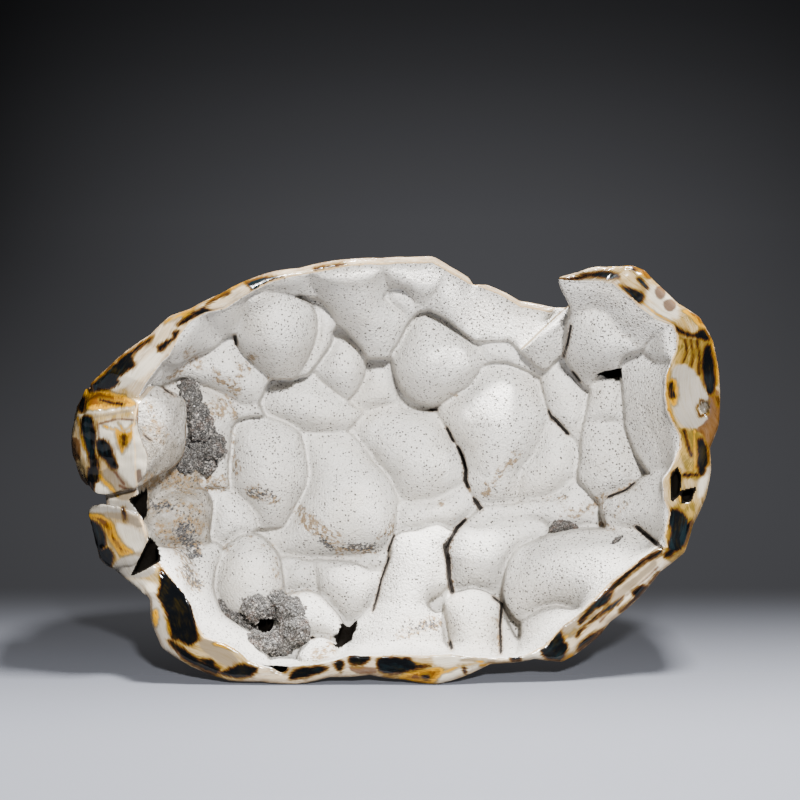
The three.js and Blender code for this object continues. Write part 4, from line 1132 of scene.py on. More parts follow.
# Cracks of the skin: places along each in the picture, then its width in pixels
CRACKS = [
    ([(447, 428), (453, 441)], 2.0), ([(458, 447), (462, 456), (466, 470), (465, 480), (468, 487)], 2.6),
    ([(474, 499), (481, 509)], 3.0), ([(465, 520), (457, 528), (450, 540), (446, 548)], 2.4),
    ([(445, 546), (448, 558), (449, 577), (452, 592)], 3.4), ([(549, 411), (552, 418)], 1.6),
    ([(553, 417), (568, 434)], 2.2), ([(571, 325), (568, 342), (564, 356)], 1.4),
    ([(573, 372), (580, 381)], 1.4), ([(389, 558), (381, 580), (377, 597), (373, 611)], 1.2),
    ([(493, 597), (502, 604), (500, 625), (501, 653)], 1.6), ([(634, 483), (626, 490), (608, 497)], 1.4),
    ([(394, 536), (388, 551)], 1.2), ([(450, 642), (452, 649)], 2.0), ([(235, 336), (236, 344)], 2.2),
    ([(637, 527), (652, 540), (664, 550)], 3.0), ([(429, 410), (437, 410)], 1.2),
    ([(144, 435), (150, 440), (157, 439), (164, 443)], 0.7), ([(152, 423), (158, 428), (166, 427)], 0.7),
    ([(163, 388), (175, 396)], 0.9),
    ([(311, 637), (314, 638)], 1.6),
]


def crack_blades():
    """One mesh of wedges that cut the cracks: wide in front of the skin, an edge behind it."""
    points, faces = [], []
    for places, width in CRACKS:
        start = len(points)
        for number, (across, down) in enumerate(places):
            before, after = places[max(number - 1, 0)], places[min(number + 1, len(places) - 1)]
            along = np.array([after[0] - before[0], after[1] - before[1]], dtype=float)
            along /= np.linalg.norm(along)
            beside = np.array([-along[1], along[0]]) * width
            ends = number in (0, len(places) - 1)
            depth = skin_depth(across, down)
            wide = 0.4 if ends else 1.0
            for sign, behind in ((-1, -3.0), (1, -3.0), (0, 3.2 if ends else 4.5)):
                place = (across + sign * wide * beside[0], down + sign * wide * beside[1])
                x, y, z = seen(*place, depth + behind)
                points.append((x, y, -z))
        count = len(places)
        for number in range(count - 1):
            here, there = start + 3 * number, start + 3 * (number + 1)
            for one, two in ((0, 1), (1, 2), (2, 0)):
                faces.append((here + one, here + two, there + two, there + one))
        last = start + 3 * (count - 1)
        faces.append((start + 2, start + 1, start))
        faces.append((last, last + 1, last + 2))
    return new_object("crack_blades", points, faces, smooth=False)


# ---- Pieces

def facing_out(points, faces):
    """The faces turned so that the closed mesh has its faces pointing out."""
    points = np.asarray(points, dtype=float)
    one, two, three = (points[faces[:, corner]] for corner in range(3))
    volume = np.einsum("ij,ij->i", one, np.cross(two, three)).sum()
    if faces.shape[1] == 4:
        one, two, three = (points[faces[:, corner]] for corner in (0, 2, 3))
        volume += np.einsum("ij,ij->i", one, np.cross(two, three)).sum()
    return faces if volume > 0 else faces[:, ::-1]


def triangle_count(mesh):
    return sum(len(face.vertices) - 2 for face in mesh.polygons)


def set_group(piece, name, weights):
    """A vertex group with the weights in eight steps."""
    group = piece.vertex_groups.new(name=name)
    levels = np.round(weights * 8).astype(int)
    for level in range(1, 9):
        group.add(np.flatnonzero(levels == level).tolist(), level / 8, "REPLACE")


def is_painted(flat):
    """Whether each point is on the polished rim or on a lump's polished front."""
    side, face = body_fields(*flat.T)
    places = Places(*flat.T)
    skin, lumps, wings = skin_field(places), blocks_field(places, LUMPS), blocks_field(places, WINGS)
    on_rim = (np.abs(face) < 1.0) & (skin < 0.5) & (side < 0.5)
    on_lump = (np.abs(lumps) < 1) & (flat[:, 2] < 7) & (flat[:, 0] < -83)
    return on_rim | on_lump | ((np.abs(wings) < 1) & (skin < 0.5) & (flat[:, 2] < 9) & (flat[:, 1] > 30))


def made_finer(piece, chosen):
    """The piece with each edge between chosen points split once."""
    mesh = bmesh.new()
    mesh.from_mesh(piece.data)
    edges = [edge for edge in mesh.edges if chosen[edge.verts[0].index] and chosen[edge.verts[1].index]]
    bmesh.ops.subdivide_edges(mesh, edges=edges, cuts=1, use_grid_fill=True)
    bmesh.ops.triangulate(mesh, faces=mesh.faces[:])
    mesh.to_mesh(piece.data)
    mesh.free()
    return piece


def cut_stone(step, triangles):
    """The stone's mesh in the mouth's frame, thinned, with its cracks cut and its rim made finer."""
    flat, quads = polygonised(stone_field(Places.grid(step)), step)
    side, face = body_fields(*flat.T)
    skin = skin_field(Places(*flat.T))
    behind = np.clip((side - face - 1.5) / 6, 0, 1) * np.clip((side - skin) / 1.5, 0, 1)
    painted = is_painted(flat)
    weights = np.where(painted, 0.0, 0.35 + 0.65 * behind)
    triangles -= 6 * int(painted[quads].all(axis=1).sum()) + 3000
    points = in_mouth_frame(flat) * (1, 1, -1)
    piece = new_object("geode_stone", points, facing_out(points, quads))
    set_group(piece, "wide_faces", weights)
    ratio = triangles / triangle_count(piece.data)
    applied(piece, "DECIMATE", ratio=ratio, vertex_group="wide_faces", vertex_group_factor=1.0)
    blades = crack_blades()
    applied(piece, "BOOLEAN", operation="DIFFERENCE", solver="MANIFOLD", object=blades)
    mesh = blades.data
    bpy.data.objects.remove(blades)
    bpy.data.meshes.remove(mesh)
    return made_finer(piece, is_painted(drawn_flat(points_of(piece.data) * (1, 1, -1))))


def add_measure(mesh, name, values):
    attribute = mesh.attributes.new(name, "FLOAT", "POINT")
    attribute.data.foreach_set("value", np.ascontiguousarray(values, dtype=np.float32))


def below_line(line, across, down):
    """How far below a line of places each place of the picture lies, in millimetres."""
    xs, ys = zip(*line)
    return (down - np.interp(across, xs, ys)) * MM_PER_PIXEL


BARREL_LINE = [(380, 160), (404, 139), (428, 138), (442, 142), (455, 148), (468, 147), (483, 140), (500, 133)]


def in_holes(across, rise, depth):
    """How far inside a gap or the crust's pit each point lies, in millimetres behind its front."""
    x, y, radius = CRUST_HOLE
    middle = seen(x, y, 0)
    near_pit = np.hypot(across - middle[0], rise - middle[1]) < radius + 0.5
    inside = np.where(near_pit, depth - 10, -2)
    for (_, depths), planes in zip(GAPS, GAP_PLANES):
        near = np.abs(hull_field(planes, across, rise, depth, 0.6)) < 0.6
        inside = np.where(near, np.maximum(inside, depth - depths[0] - 4.5), inside)
    return np.clip(inside, -2, 3)


def measure_stone(piece):
    """Writes what the finish reads at each point: how far it is from edges, creases and strokes."""
    mesh = piece.data
    flat = drawn_flat(points_of(mesh) * (1, 1, -1))
    places = Places(*flat.T)
    side, face = body_fields(*flat.T)
    skin = skin_field(places)
    lumps, wing = blocks_field(places, LUMPS), blocks_field(places, WINGS)
    across = PICTURE_MIDDLE + flat[:, 0] / MM_PER_PIXEL
    down = PICTURE_MIDDLE - flat[:, 1] / MM_PER_PIXEL
    lining = skin - np.maximum(side, face)
    rows, columns = zip(*BARREL_LINE)
    barrel = (across - np.interp(down, rows, columns)) * MM_PER_PIXEL
    barrel = np.where((down < 500) & (across < 215) & (flat[:, 2] < 22), barrel, -3)
    body = np.maximum(np.maximum(side, face), skin)
    on_lump = (lumps < body - 0.15) & (lumps < 1)
    on_wing = (wing < np.maximum(side, face) - 0.15) & (wing < 1)
    add_measure(mesh, "cracked", np.where(on_lump & (barrel > 0), 1, 0))
    lining = np.where(on_lump, barrel, lining)
    in_front = below_line(WING_RIM_LINE, across, down)
    lining = np.where(on_wing, np.where(skin > -0.7, in_front, -9), lining)
    outward = np.where(on_lump, np.clip(12 - flat[:, 2], -6, 6), face - side)
    outward = np.where(on_wing, 3, outward)
    angle, radius = polar(flat[:, 0], flat[:, 1])
    pitted, greys = np.full(len(LOBES) + 2, 0.36), np.zeros(len(LOBES) + 2)
    for x, y, pits, grey in SKIN_KINDS:
        number = HOLLOW.labels[y - MAP_BOX[1], x - MAP_BOX[0]]
        pitted[number], greys[number] = pits, grey
    add_measure(mesh, "lining", np.clip(lining, -4, 4))
    add_measure(mesh, "outward", np.clip(outward, -8, 30))
    # The crease, halo and underside measures feed the skin's painted shade along, beside and under the lobes
    add_measure(mesh, "crease", np.where(on_lump, 0, HOLLOW.at("line", *flat.T[:2])))
    add_measure(mesh, "crease_shade_halo", np.where(on_lump, 0, HOLLOW.at("crease_shade_halo", *flat.T[:2])))
    add_measure(mesh, "grey", greys[HOLLOW.lobe(*flat.T[:2])])
    add_measure(mesh, "hole", in_holes(*flat.T))
    add_measure(mesh, "underside_shade", np.where(on_lump, 0, HOLLOW.at("underside_shade", *flat.T[:2])))
    add_measure(mesh, "pitted", pitted[HOLLOW.lobe(*flat.T[:2])])
    add_measure(mesh, "cut_in", np.clip(-np.where(on_lump, lumps, skin), -1, 4))
    add_measure(mesh, "along", angle * 85)
    add_measure(mesh, "inward", np.clip(radius - at_angle(INNER, 1, angle), -4, 25))
    for name, strokes in STROKES.items():
        add_measure(mesh, name, strokes_field(strokes, across, down))
    add_measure(mesh, "ring", np.hypot(across - EYE_MIDDLE[0], down - EYE_MIDDLE[1]))
    cracks = [(*one, *two, width * 0.62 + 0.4) for line, width in CRACKS for one, two in zip(line, line[1:])]
    add_measure(mesh, "crack", strokes_field(cracks, across, down))
    for name, patches in PATCHES.items():
        add_measure(mesh, name, patches_field(patches, RIM_LINES[name], across, down))


def local_grid(low, high, step):
    rows = [np.arange(a, b, step) for a, b in zip(low, high)]
    return rows[0][:, None, None], rows[1][None, :, None], rows[2][None, None, :]


def field_mesh(field, low, step):
    grid = vdb.FloatGrid(3 * step)
    grid.copyFromArray(np.ascontiguousarray(np.clip(field, -3 * step, 3 * step), dtype=np.float32))
    points, triangles, quads = grid.convertToPolygons(isovalue=0.0, adaptivity=0.0)
    if len(triangles):
        quads = np.vstack([quads, np.hstack([triangles, triangles[:, 2:]])])
    points, quads = largest_part(points, quads)
    return np.array(low) + points * step, quads


def crystal(draw, place, way, size):
    """Points and faces of one stubby six-sided crystal that grows along a way."""
    way = way + draw.normal(size=3) * 0.45
    way /= np.linalg.norm(way)
    side = np.cross(way, draw.normal(size=3))
    side /= np.linalg.norm(side)
    other = np.cross(way, side)
    sides = 5 if draw.uniform() < 0.4 else 6
    points = []
    for height, wide in ((-0.9, 0.8), (0.35, 1.0)):
        for corner in range(sides):
            turn = 2 * math.pi * corner / sides
            ring = math.cos(turn) * side + math.sin(turn) * other
            points.append(place + size * (height * way + wide * ring))
    points.append(place + size * (1.15 * way + 0.25 * side))
    faces = []
    for corner in range(sides):
        after = (corner + 1) % sides
        faces.append((corner, after, sides + after, sides + corner))
        faces.append((sides + corner, sides + after, 2 * sides))
    faces.append(tuple(range(sides))[::-1])
    return points, faces


def grown_over(points, quads, count, size, seed, keep=None):
    """Crystals over a base mesh, with a tone for each; all in the mouth's frame."""
    draw = np.random.default_rng(seed)
    one, two, three, four = (points[quads[:, corner]] for corner in range(4))
    normals = np.cross(three - one, four - two)
    normals /= np.maximum(np.linalg.norm(normals, axis=1, keepdims=True), 1e-9)
    middles = (one + two + three + four) / 4
    chosen = np.arange(len(quads)) if keep is None else np.flatnonzero(keep(middles))
    chosen = draw.choice(chosen, size=min(count, len(chosen)), replace=False)
    all_points, all_faces = list(points), [tuple(face) for face in quads]
    tones = list(0.28 + 0.12 * draw.uniform(size=len(points)))
    for number in chosen:
        wide = size * draw.uniform(0.55, 1.25)
        corners, faces = crystal(draw, middles[number], normals[number], wide)
        start = len(all_points)
        all_points.extend(corners)
        all_faces.extend(tuple(start + corner for corner in face) for face in faces)
        tones.extend([draw.uniform()] * len(corners))
    return all_points, all_faces, tones


def stood_up(name, points, faces, tones):
    """A crust or chip as an object where it stands, its hidden foot kept above the floor."""
    places = np.maximum(standing(points), (-1, -1, LEAST_HEIGHT))
    piece = new_object(name, places, faces, smooth=False)
    add_measure(piece.data, "tone", tones)
    return piece


def grow_crust(name, clusters, count, size, seed, hole=None):
    step = 0.36
    balls = []
    for across, down, radius in clusters:
        depth = skin_depth(across, down) - CRUST_PROUD * radius
        balls.append((seen(across, down, depth), radius * 0.93))
    corners = np.array([middle for middle, _ in balls])
    low, high = corners.min(axis=0) - 7, corners.max(axis=0) + 7
    x, y, z = local_grid(low, high, step)
    field = None
    for middle, radius in balls:
        ball = np.sqrt((x - middle[0]) ** 2 + (y - middle[1]) ** 2 + (z - middle[2]) ** 2) - radius
        field = ball if field is None else -smooth_max(-field, -ball, 0.8)
    field = field + 0.45 * ripple(x, y, z, 4.2, seed) + 0.4 * ripple(x, y, z, 2.0, seed + 1)
    if hole:
        depth = skin_depth(hole[0], hole[1])
        middle = seen(hole[0], hole[1], depth)
        ring = np.hypot(x - middle[0], y - middle[1]) - hole[2] - 0.3 * ripple(x, y, z, 3, seed + 2)
        field = np.maximum(field, -ring)
    points, quads = field_mesh(field, low, step)
    quads = facing_out(points * (1, 1, -1), quads)
    mirrored = points * (1, 1, -1)

    def above_skin(middles):
        flat = drawn_flat(middles * (1, 1, -1))
        return skin_field(Places(*flat.T)) > -1.2

    points, faces, tones = grown_over(mirrored, quads, count, size, seed, above_skin)
    return stood_up(name, np.array(points) * (1, 1, -1), faces, tones)


def grow_chip(name, chip, count, seed):
    step = 0.22
    outline, thickness = chip
    middle = np.mean(outline, axis=0)
    depth = skin_depth(*middle)
    corners = [(x, y, depth + part * thickness) for x, y in outline for part in (-0.3, 0.9)]
    corners.append((middle[0] + 1, middle[1] - 1, depth - thickness))
    planes = hull_planes(corners)
    low, high = box_round([seen(*corner) for corner in corners], 1.5)
    x, y, z = local_grid(low, high, step)
    field = hull_field(planes, x, y, z, 0.6)
    field = field + 0.25 * ripple(x, y, z, 2.4, seed) + 0.18 * ripple(x, y, z, 1.2, seed + 1)
    flat, quads = field_mesh(field, low, step)
    points = in_mouth_frame(flat) * (1, 1, -1)
    quads = facing_out(points, quads)
    points, faces, tones = grown_over(points, quads, count, 0.3, seed)
    return stood_up(name, np.array(points) * (1, 1, -1), faces, tones)


# ---- Finishes

class Value:
    """A number on a shader socket; arithmetic on it adds Math nodes."""

    def __init__(self, finish, socket):
        self.finish, self.socket = finish, socket

    def maths(self, operation, *others):
        sockets = {number: value for number, value in enumerate((self, *others))}
        node = self.finish.node("ShaderNodeMath", {"operation": operation}, sockets)
        return Value(self.finish, node.outputs[0])

    def swapped(self, operation, other):
        node = self.finish.node("ShaderNodeMath", {"operation": operation}, {0: other, 1: self})
        return Value(self.finish, node.outputs[0])

    def __add__(self, other):
        return self.maths("ADD", other)

    def __radd__(self, other):
        return self.swapped("ADD", other)

    def __sub__(self, other):
        return self.maths("SUBTRACT", other)

    def __rsub__(self, other):
        return self.swapped("SUBTRACT", other)

    def __mul__(self, other):
        return self.maths("MULTIPLY", other)

    def __rmul__(self, other):
        return self.swapped("MULTIPLY", other)

    def higher(self, other):
        return self.maths("MAXIMUM", other)

    def lower(self, other):
        return self.maths("MINIMUM", other)

    def rise(self, low, high):
        """0 below low, 1 above high, smooth between."""
        settings = {"interpolation_type": "SMOOTHSTEP"}
        sockets = {"Value": self, "From Min": low, "From Max": high}
        node = self.finish.node("ShaderNodeMapRange", settings, sockets)
        return Value(self.finish, node.outputs["Result"])


class Finish:
    """A material and its nodes."""

    def __init__(self, name):
        self.material = bpy.data.materials.new(name)
        self.material.use_nodes = True
        self.tree = self.material.node_tree
        self.tree.nodes.clear()
        self.output = self.tree.nodes.new("ShaderNodeOutputMaterial")

    def node(self, kind, settings=None, sockets=None):
        node = self.tree.nodes.new(kind)
        for key, value in (settings or {}).items():
            setattr(node, key, value)
        for key, value in (sockets or {}).items():
            socket = node.inputs[key]
            if isinstance(value, Value):
                self.tree.links.new(value.socket, socket)
            elif isinstance(value, bpy.types.NodeSocket):
                self.tree.links.new(value, socket)
            else:
                socket.default_value = value
        return node

    def measure(self, name):
        return Value(self, self.node("ShaderNodeAttribute", {"attribute_name": name}).outputs["Fac"])

    def place(self):
        return self.node("ShaderNodeTexCoord").outputs["Object"]

    def noise(self, place, scale, detail=3.0, rough=0.5, bend=0.0):
        sockets = {"Vector": place, "Scale": scale, "Detail": detail, "Roughness": rough, "Distortion": bend}
        return Value(self, self.node("ShaderNodeTexNoise", None, sockets).outputs["Fac"])

    def cells(self, place, scale):
        """Distance to the nearest cell's point, and two random numbers of that cell."""
        node = self.node("ShaderNodeTexVoronoi", None, {"Vector": place, "Scale": scale})
        parts = self.node("ShaderNodeSeparateColor", None, {"Color": node.outputs["Color"]})
        distance = Value(self, node.outputs["Distance"])
        return distance, Value(self, parts.outputs[0]), Value(self, parts.outputs[1])

    def vector(self, *parts):
        sockets = dict(enumerate(parts))
        return self.node("ShaderNodeCombineXYZ", None, sockets).outputs[0]

    def blend(self, part, first, second):
        """The first colour, and the second where part is 1."""
        node = self.node("ShaderNodeMix", {"data_type": "RGBA", "clamp_factor": True})
        for index, value in ((0, part), (6, first), (7, second)):
            if isinstance(value, Value):
                self.tree.links.new(value.socket, node.inputs[index])
            elif isinstance(value, bpy.types.NodeSocket):
                self.tree.links.new(value, node.inputs[index])
            else:
                node.inputs[index].default_value = value if index == 0 else (*value, 1)
        return node.outputs[2]

    def shade(self, settings, sockets):
        """The Principled shader of the finish, linked to the output."""
        shader = self.node("ShaderNodeBsdfPrincipled", settings, sockets)
        self.tree.links.new(shader.outputs[0], self.output.inputs["Surface"])
        return shader


WHITE_SKIN = (0.63, 0.607, 0.565)
WARM_SKIN = (0.50, 0.455, 0.385)
PAINTED_SHADE_GREY = (0.25, 0.235, 0.21)
CREASE_SHADE_TAN = (0.17, 0.13, 0.085)
STAIN_AND_SHADOW_OCHRE = (0.17, 0.098, 0.03)
PIT_GREY = (0.05, 0.042, 0.034)
AGATE_CREAM = (0.32, 0.245, 0.155)
AGATE_GREY = (0.16, 0.135, 0.11)
AGATE_PALE = (0.40, 0.35, 0.27)
AGATE_WHITE = (0.38, 0.34, 0.27)
AGATE_PEARL = (0.19, 0.172, 0.145)
AGATE_HONEY = (0.18, 0.11, 0.02)
AGATE_TAUPE = (0.12, 0.092, 0.06)
AGATE_OLIVE = (0.065, 0.042, 0.003)
AGATE_BROWN = (0.04, 0.012, 0.002)
AGATE_GOLD = (0.25, 0.12, 0.003)
AGATE_AMBER = (0.085, 0.034, 0.0015)
AGATE_BLACK = (0.0012, 0.0014, 0.0018)
RIND_TAN = (0.21, 0.14, 0.085)
RIND_DARK = (0.035, 0.022, 0.015)
CRUST_GREY = (0.018, 0.016, 0.014)
CRUST_LIGHT = (0.24, 0.215, 0.19)
CRUST_BROWN = (0.05, 0.028, 0.018)


def stone_finish():
    """White chalcedony inside, polished bands on the rim and the lumps, a mottled rind outside; the skin also has
    painted shade under and beside its lobes, low down, and in its cuts, cracks and holes.
    """
    f = Finish("agate_and_chalcedony")
    place = f.place()
    fine = f.noise(place, 2600, 2)
    grain = f.noise(place, 900, 3)
    middle = f.noise(place, 230, 4)
    wide = f.noise(place, 42, 3)
    lining = f.measure("lining")
    # White skin of the hollow
    skin = f.blend(wide.rise(0.42, 0.72) * 0.55, WHITE_SKIN, WARM_SKIN)
    # Greyer lobes; the lobe under the upper lump is grey partly as that lump's painted shadow
    skin = f.blend(f.measure("grey") * (middle * 1.8 + 0.1), skin, (0.15, 0.125, 0.09))
    skin = f.blend(middle.rise(0.5, 0.75) * 0.2, skin, WARM_SKIN)
    # Painted shade: the lobes' undersides are darkened towards a grey
    underside_shade = (f.measure("underside_shade") + (middle - 0.5) * 0.3).rise(0.15, 1.1)
    skin = f.blend(underside_shade * 0.32, skin, PAINTED_SHADE_GREY)
    # Along the creases the skin is darker: partly painted crease shade, partly a slight tan
    crease = (f.measure("crease") + (grain - 0.5) * 0.5).rise(0.3, 1.0)
    # Painted shade: a broad grey halo beside the creases
    crease_shade_halo = (f.measure("crease_shade_halo") + (middle - 0.5) * 0.8).rise(0.35, 1.1)
    skin = f.blend(crease_shade_halo * 0.08, skin, PAINTED_SHADE_GREY)
    # Painted shade: the skin within 5 cm of the floor is darker, most of all right near it, as the lower hollow gets
    # less light
    parts = f.node("ShaderNodeSeparateXYZ", None, {"Vector": place})
    skin = f.blend((0.05 - Value(f, parts.outputs[2])).rise(0, 0.04) * 0.4, skin, PAINTED_SHADE_GREY)
    skin = f.blend(crease * 0.25, skin, CREASE_SHADE_TAN)
    # Ochre stains, which under the upper lump partly paint that lump's shadow
    stain_and_shadow = (f.measure("stain_and_shadow") + (middle - 0.5) * 26 + (grain - 0.5) * 12).rise(-1, 4)
    mottled = f.noise(place, 650, 3).rise(0.43, 0.55) * 0.85 + 0.15
    cracked = f.measure("cracked")
    ridge = f.noise(place, 210, 4, 0.6, 0.5) - 0.5
    hairline = (ridge * ridge * 1000).rise(0.35, 0.0) * cracked * (wide - 0.42).rise(0, 0.15)
    skin = f.blend(cracked * (grain.rise(0.3, 0.7) * 0.5 + 0.3), skin, (0.20, 0.175, 0.14))
    skin = f.blend(hairline * 0.85, skin, (0.05, 0.04, 0.03))
    skin = f.blend(stain_and_shadow * mottled * 0.9, skin, STAIN_AND_SHADOW_OCHRE)
    many = f.measure("pitted") + (f.noise(place, 70, 2) - 0.5) * 0.9
    distance, chance, size = f.cells(place, 960)
    pits = (size * 0.16 + 0.22 - distance).rise(0, 0.08) * (chance + many - 0.85).rise(0, 0.1)
    near, small_chance, small_size = f.cells(place, 1900)
    dots = (small_size * 0.2 + 0.2 - near).rise(0, 0.1) * (small_chance + many - 1.0).rise(0, 0.12)
    wide_distance, wide_chance, wide_size = f.cells(place, 250)
    holes = (wide_size * 0.07 + 0.06 - wide_distance).rise(0, 0.03) * (wide_chance + many - 1.1).rise(0, 0.05)
    specks = (f.measure("speck") + (middle - 0.5) * 16).rise(-2, 3)
    speck_dots = (0.46 - distance).rise(0, 0.1) * (size - 0.3).rise(0, 0.1) * specks
    pits = pits.higher(holes)
    skin = f.blend(dots * 0.8, skin, (0.20, 0.18, 0.155))
    skin = f.blend(pits * 0.95, skin, PIT_GREY)
    skin = f.blend(speck_dots * 0.9, skin, (0.03, 0.035, 0.045))
    blots = (f.measure("speck") + (middle - 0.5) * 8 + (grain - 0.5) * 26).rise(3.2, 4.6)
    skin = f.blend(blots * 0.85, skin, (0.022, 0.024, 0.03))
    skin = f.blend((fine - 0.45).higher(0) * 1.6, skin, (0.33, 0.31, 0.28))
    # Polished rim
    along, inward, outward = f.measure("along"), f.measure("inward"), f.measure("outward")
    flow = f.vector(along * 0.09, inward * 0.55, 0.0)
    bands = f.noise(flow, 1.0, 4, 0.6, 0.6)
    streaks = f.noise(f.vector(along * 0.3, inward * 2.2, 3.0), 1.0, 3, 0.6, 0.4)
    wobble = (bands - 0.5) * 7 + (streaks - 0.5) * 4 + (middle - 0.5) * 6
    rim = f.blend(bands.rise(0.4, 0.66) * 0.6, AGATE_CREAM, AGATE_GREY)
    rim = f.blend(streaks.rise(0.46, 0.7) * 0.75, rim, AGATE_PALE)
    rim = f.blend(streaks.rise(0.36, 0.24) * 0.7, rim, AGATE_AMBER)
    wobble = wobble * 0.42 + (grain - 0.5) * 1.5
    honey = (f.measure("honey") + wobble * 2).rise(-3, 3) * (0.55 + bands.rise(0.4, 0.7) * 0.4)
    rim = f.blend(honey, rim, AGATE_HONEY)
    rim = f.blend((f.measure("honey") + wobble * 2).rise(-3, 3) * streaks.rise(0.44, 0.3) * 0.9, rim, AGATE_OLIVE)
    rim = f.blend((f.measure("taupe") + wobble).rise(-1.5, 1.5) * 0.9, rim, AGATE_TAUPE)
    rim = f.blend((f.measure("pale") + wobble).rise(-2.5, 2.5) * 0.9, rim, AGATE_WHITE)
    rim = f.blend((f.measure("pearl") + wobble).rise(-1.5, 1.5) * (0.6 + streaks * 0.6), rim, AGATE_PEARL)
    shade = f.blend((streaks + middle - 0.5).rise(0.42, 0.6), AGATE_OLIVE, AGATE_HONEY)
    rim = f.blend((f.measure("olive") + wobble).rise(-2, 2) * 0.92, rim, shade)
    ring = f.measure("ring") + (middle - 0.5) * 3
    rings = f.noise(f.vector(ring * 0.45, 0.0, 21.0), 1.0, 2, 0.6, 0.0)
    ringed = (f.measure("pale") + 1).rise(0, 2) * (34 - ring).rise(0, 4)
    rim = f.blend(ringed * rings.rise(0.44, 0.56) * 0.6, rim, AGATE_PEARL)
    rim = f.blend(ringed * (ring - 15).rise(0, 9) * 0.5, rim, AGATE_GREY)
    lines = f.noise(f.vector(along * 0.12, inward * 6.0, 9.0), 1.0, 2, 0.5, 0.3)
    rim = f.blend(lines.rise(0.52, 0.66) * 0.35, rim, AGATE_OLIVE)
    gold = f.measure("gold") + wobble + (bands - 0.5) * 5
    rim = f.blend(gold.rise(-3.0, -0.4) * 0.65, rim, AGATE_OLIVE)
    rim = f.blend(gold.rise(-0.8, 1.2), rim, AGATE_GOLD)
    rim = f.blend((gold + (streaks - 0.5) * 9).rise(1.6, 4.4) * 0.8, rim, AGATE_AMBER)
    rim = f.blend((gold + (middle - 0.5) * 14).rise(4.0, 5.6) * 0.8, rim, AGATE_BROWN)
    brown = f.measure("brown") + wobble
    rim = f.blend(brown.rise(-1.6, 0.8) * 0.85, rim, AGATE_BROWN)
    black = f.measure("black") + wobble + (streaks - 0.5) * 5
    rim = f.blend(((black + (bands - 0.5) * 12).rise(-4.5, -0.5) - lines * 0.4) * 0.6, rim, AGATE_AMBER)
    rim = f.blend(black.rise(-2.4, -0.4) * 0.8, rim, AGATE_OLIVE)
    rim = f.blend(black.rise(-1.2, 0.5) * 0.9, rim, AGATE_BROWN)
    dark = f.blend((middle + streaks - 0.5).rise(0.5, 0.8) * 0.6, AGATE_BLACK, (0.012, 0.008, 0.001))
    dark = f.blend((wide + bands - 0.5).rise(0.55, 0.75) * 0.6, dark, (0.004, 0.010, 0.0125))
    rim = f.blend(black.rise(-0.4, 1.8), rim, dark)
    inner_line = (0.75 - inward + (grain - 0.5)).rise(0, 0.4) * (inward + 0.2).rise(0, 0.3)
    rim = f.blend(inner_line * 0.65, rim, (0.50, 0.34, 0.17))
    outer_line = (1.1 - outward + (grain - 0.5) * 1.5).rise(0, 0.6) * bands.rise(0.3, 0.5)
    rim = f.blend(outer_line * 0.35, rim, AGATE_AMBER)
    # Rind behind the rim
    rind = f.blend(middle.rise(0.35, 0.65), RIND_TAN, AGATE_CREAM)
    rind = f.blend(wide.rise(0.45, 0.6) * 0.8, rind, AGATE_AMBER)
    blotches = f.noise(place, 75, 4, 0.55, 0.8)
    rind = f.blend(blotches.rise(0.52, 0.6) * 0.95, rind, RIND_DARK)
    rind = f.blend(f.noise(place, 130, 3, 0.5, 1.2).rise(0.6, 0.66) * 0.8, rind, AGATE_GOLD)
    distance, chance, size = f.cells(place, 520)
    rind_pits = (0.12 + size * 0.1 - distance).rise(0, 0.05) * (chance - 0.4).rise(0, 0.1)
    rind = f.blend(rind_pits * 0.8, rind, (0.03, 0.02, 0.015))
    behind = (0 - outward + (middle - 0.5) * 4).rise(0.6, 3.0)
    agate = f.blend(behind, rim, rind)
    inside = (lining + (grain - 0.5) * 0.35).rise(-0.12, 0.12)
    colour = f.blend(inside, agate, skin)
    # Painted shade: skin cut in below its surface, inside the gaps and cracks, is painted dark brown
    depth = (f.measure("cut_in") - 0.5).rise(0, 0.7) * inside
    colour = f.blend(depth * 0.9, colour, (0.03, 0.018, 0.009))
    # Along each crack: an amber stain beside it, and a black core that paints the crack's shade
    crack = f.measure("crack") + (grain - 0.5) * 1.5
    colour = f.blend(inside * crack.rise(-2.4, -0.2) * 0.5, colour, (0.15, 0.085, 0.035))
    colour = f.blend(inside * crack.rise(-0.5, 0.4) * 0.95, colour, (0.006, 0.004, 0.003))
    # Painted shade: the insides of the gaps and of the crust's pit are painted black
    hole = f.measure("hole").rise(-1.5, 1.5)
    colour = f.blend(hole, colour, (0.002, 0.0015, 0.001))
    gloss = (1 - inside) * (1 - behind * 0.75) * (1 - hole)
    rough = 0.78 - gloss * 0.63
    rough_skin = (f.noise(place, 1200, 2) - 0.5) * 0.9 + (fine - 0.5) * 0.35 + grain * 0.5
    height = (rough_skin - (pits + speck_dots) * 0.5) * inside
    height = height + (f.noise(place, 400, 5) * 2.2 - rind_pits * 1.2) * behind * (1 - inside)
    bump = f.node("ShaderNodeBump", None, {"Strength": 1.0, "Distance": 0.0007, "Height": height})
    stone = f.shade(None, {
        "Base Color": colour, "Roughness": rough, "Coat Weight": gloss * 0.08,
        "Coat Roughness": 0.08, "Specular IOR Level": 0.22, "Normal": bump.outputs[0],
    })
    # Painted shade: a black matt shader is mixed in over the holes' insides
    painted_hole_shade = f.node("ShaderNodeBsdfDiffuse", None, {"Color": (0.002, 0.0015, 0.001, 1)})
    mixed = f.node("ShaderNodeMixShader", None, {0: hole * 0.9, 1: stone.outputs[0], 2: painted_hole_shade.outputs[0]})
    f.tree.links.new(mixed.outputs[0], f.output.inputs["Surface"])
    return f.material


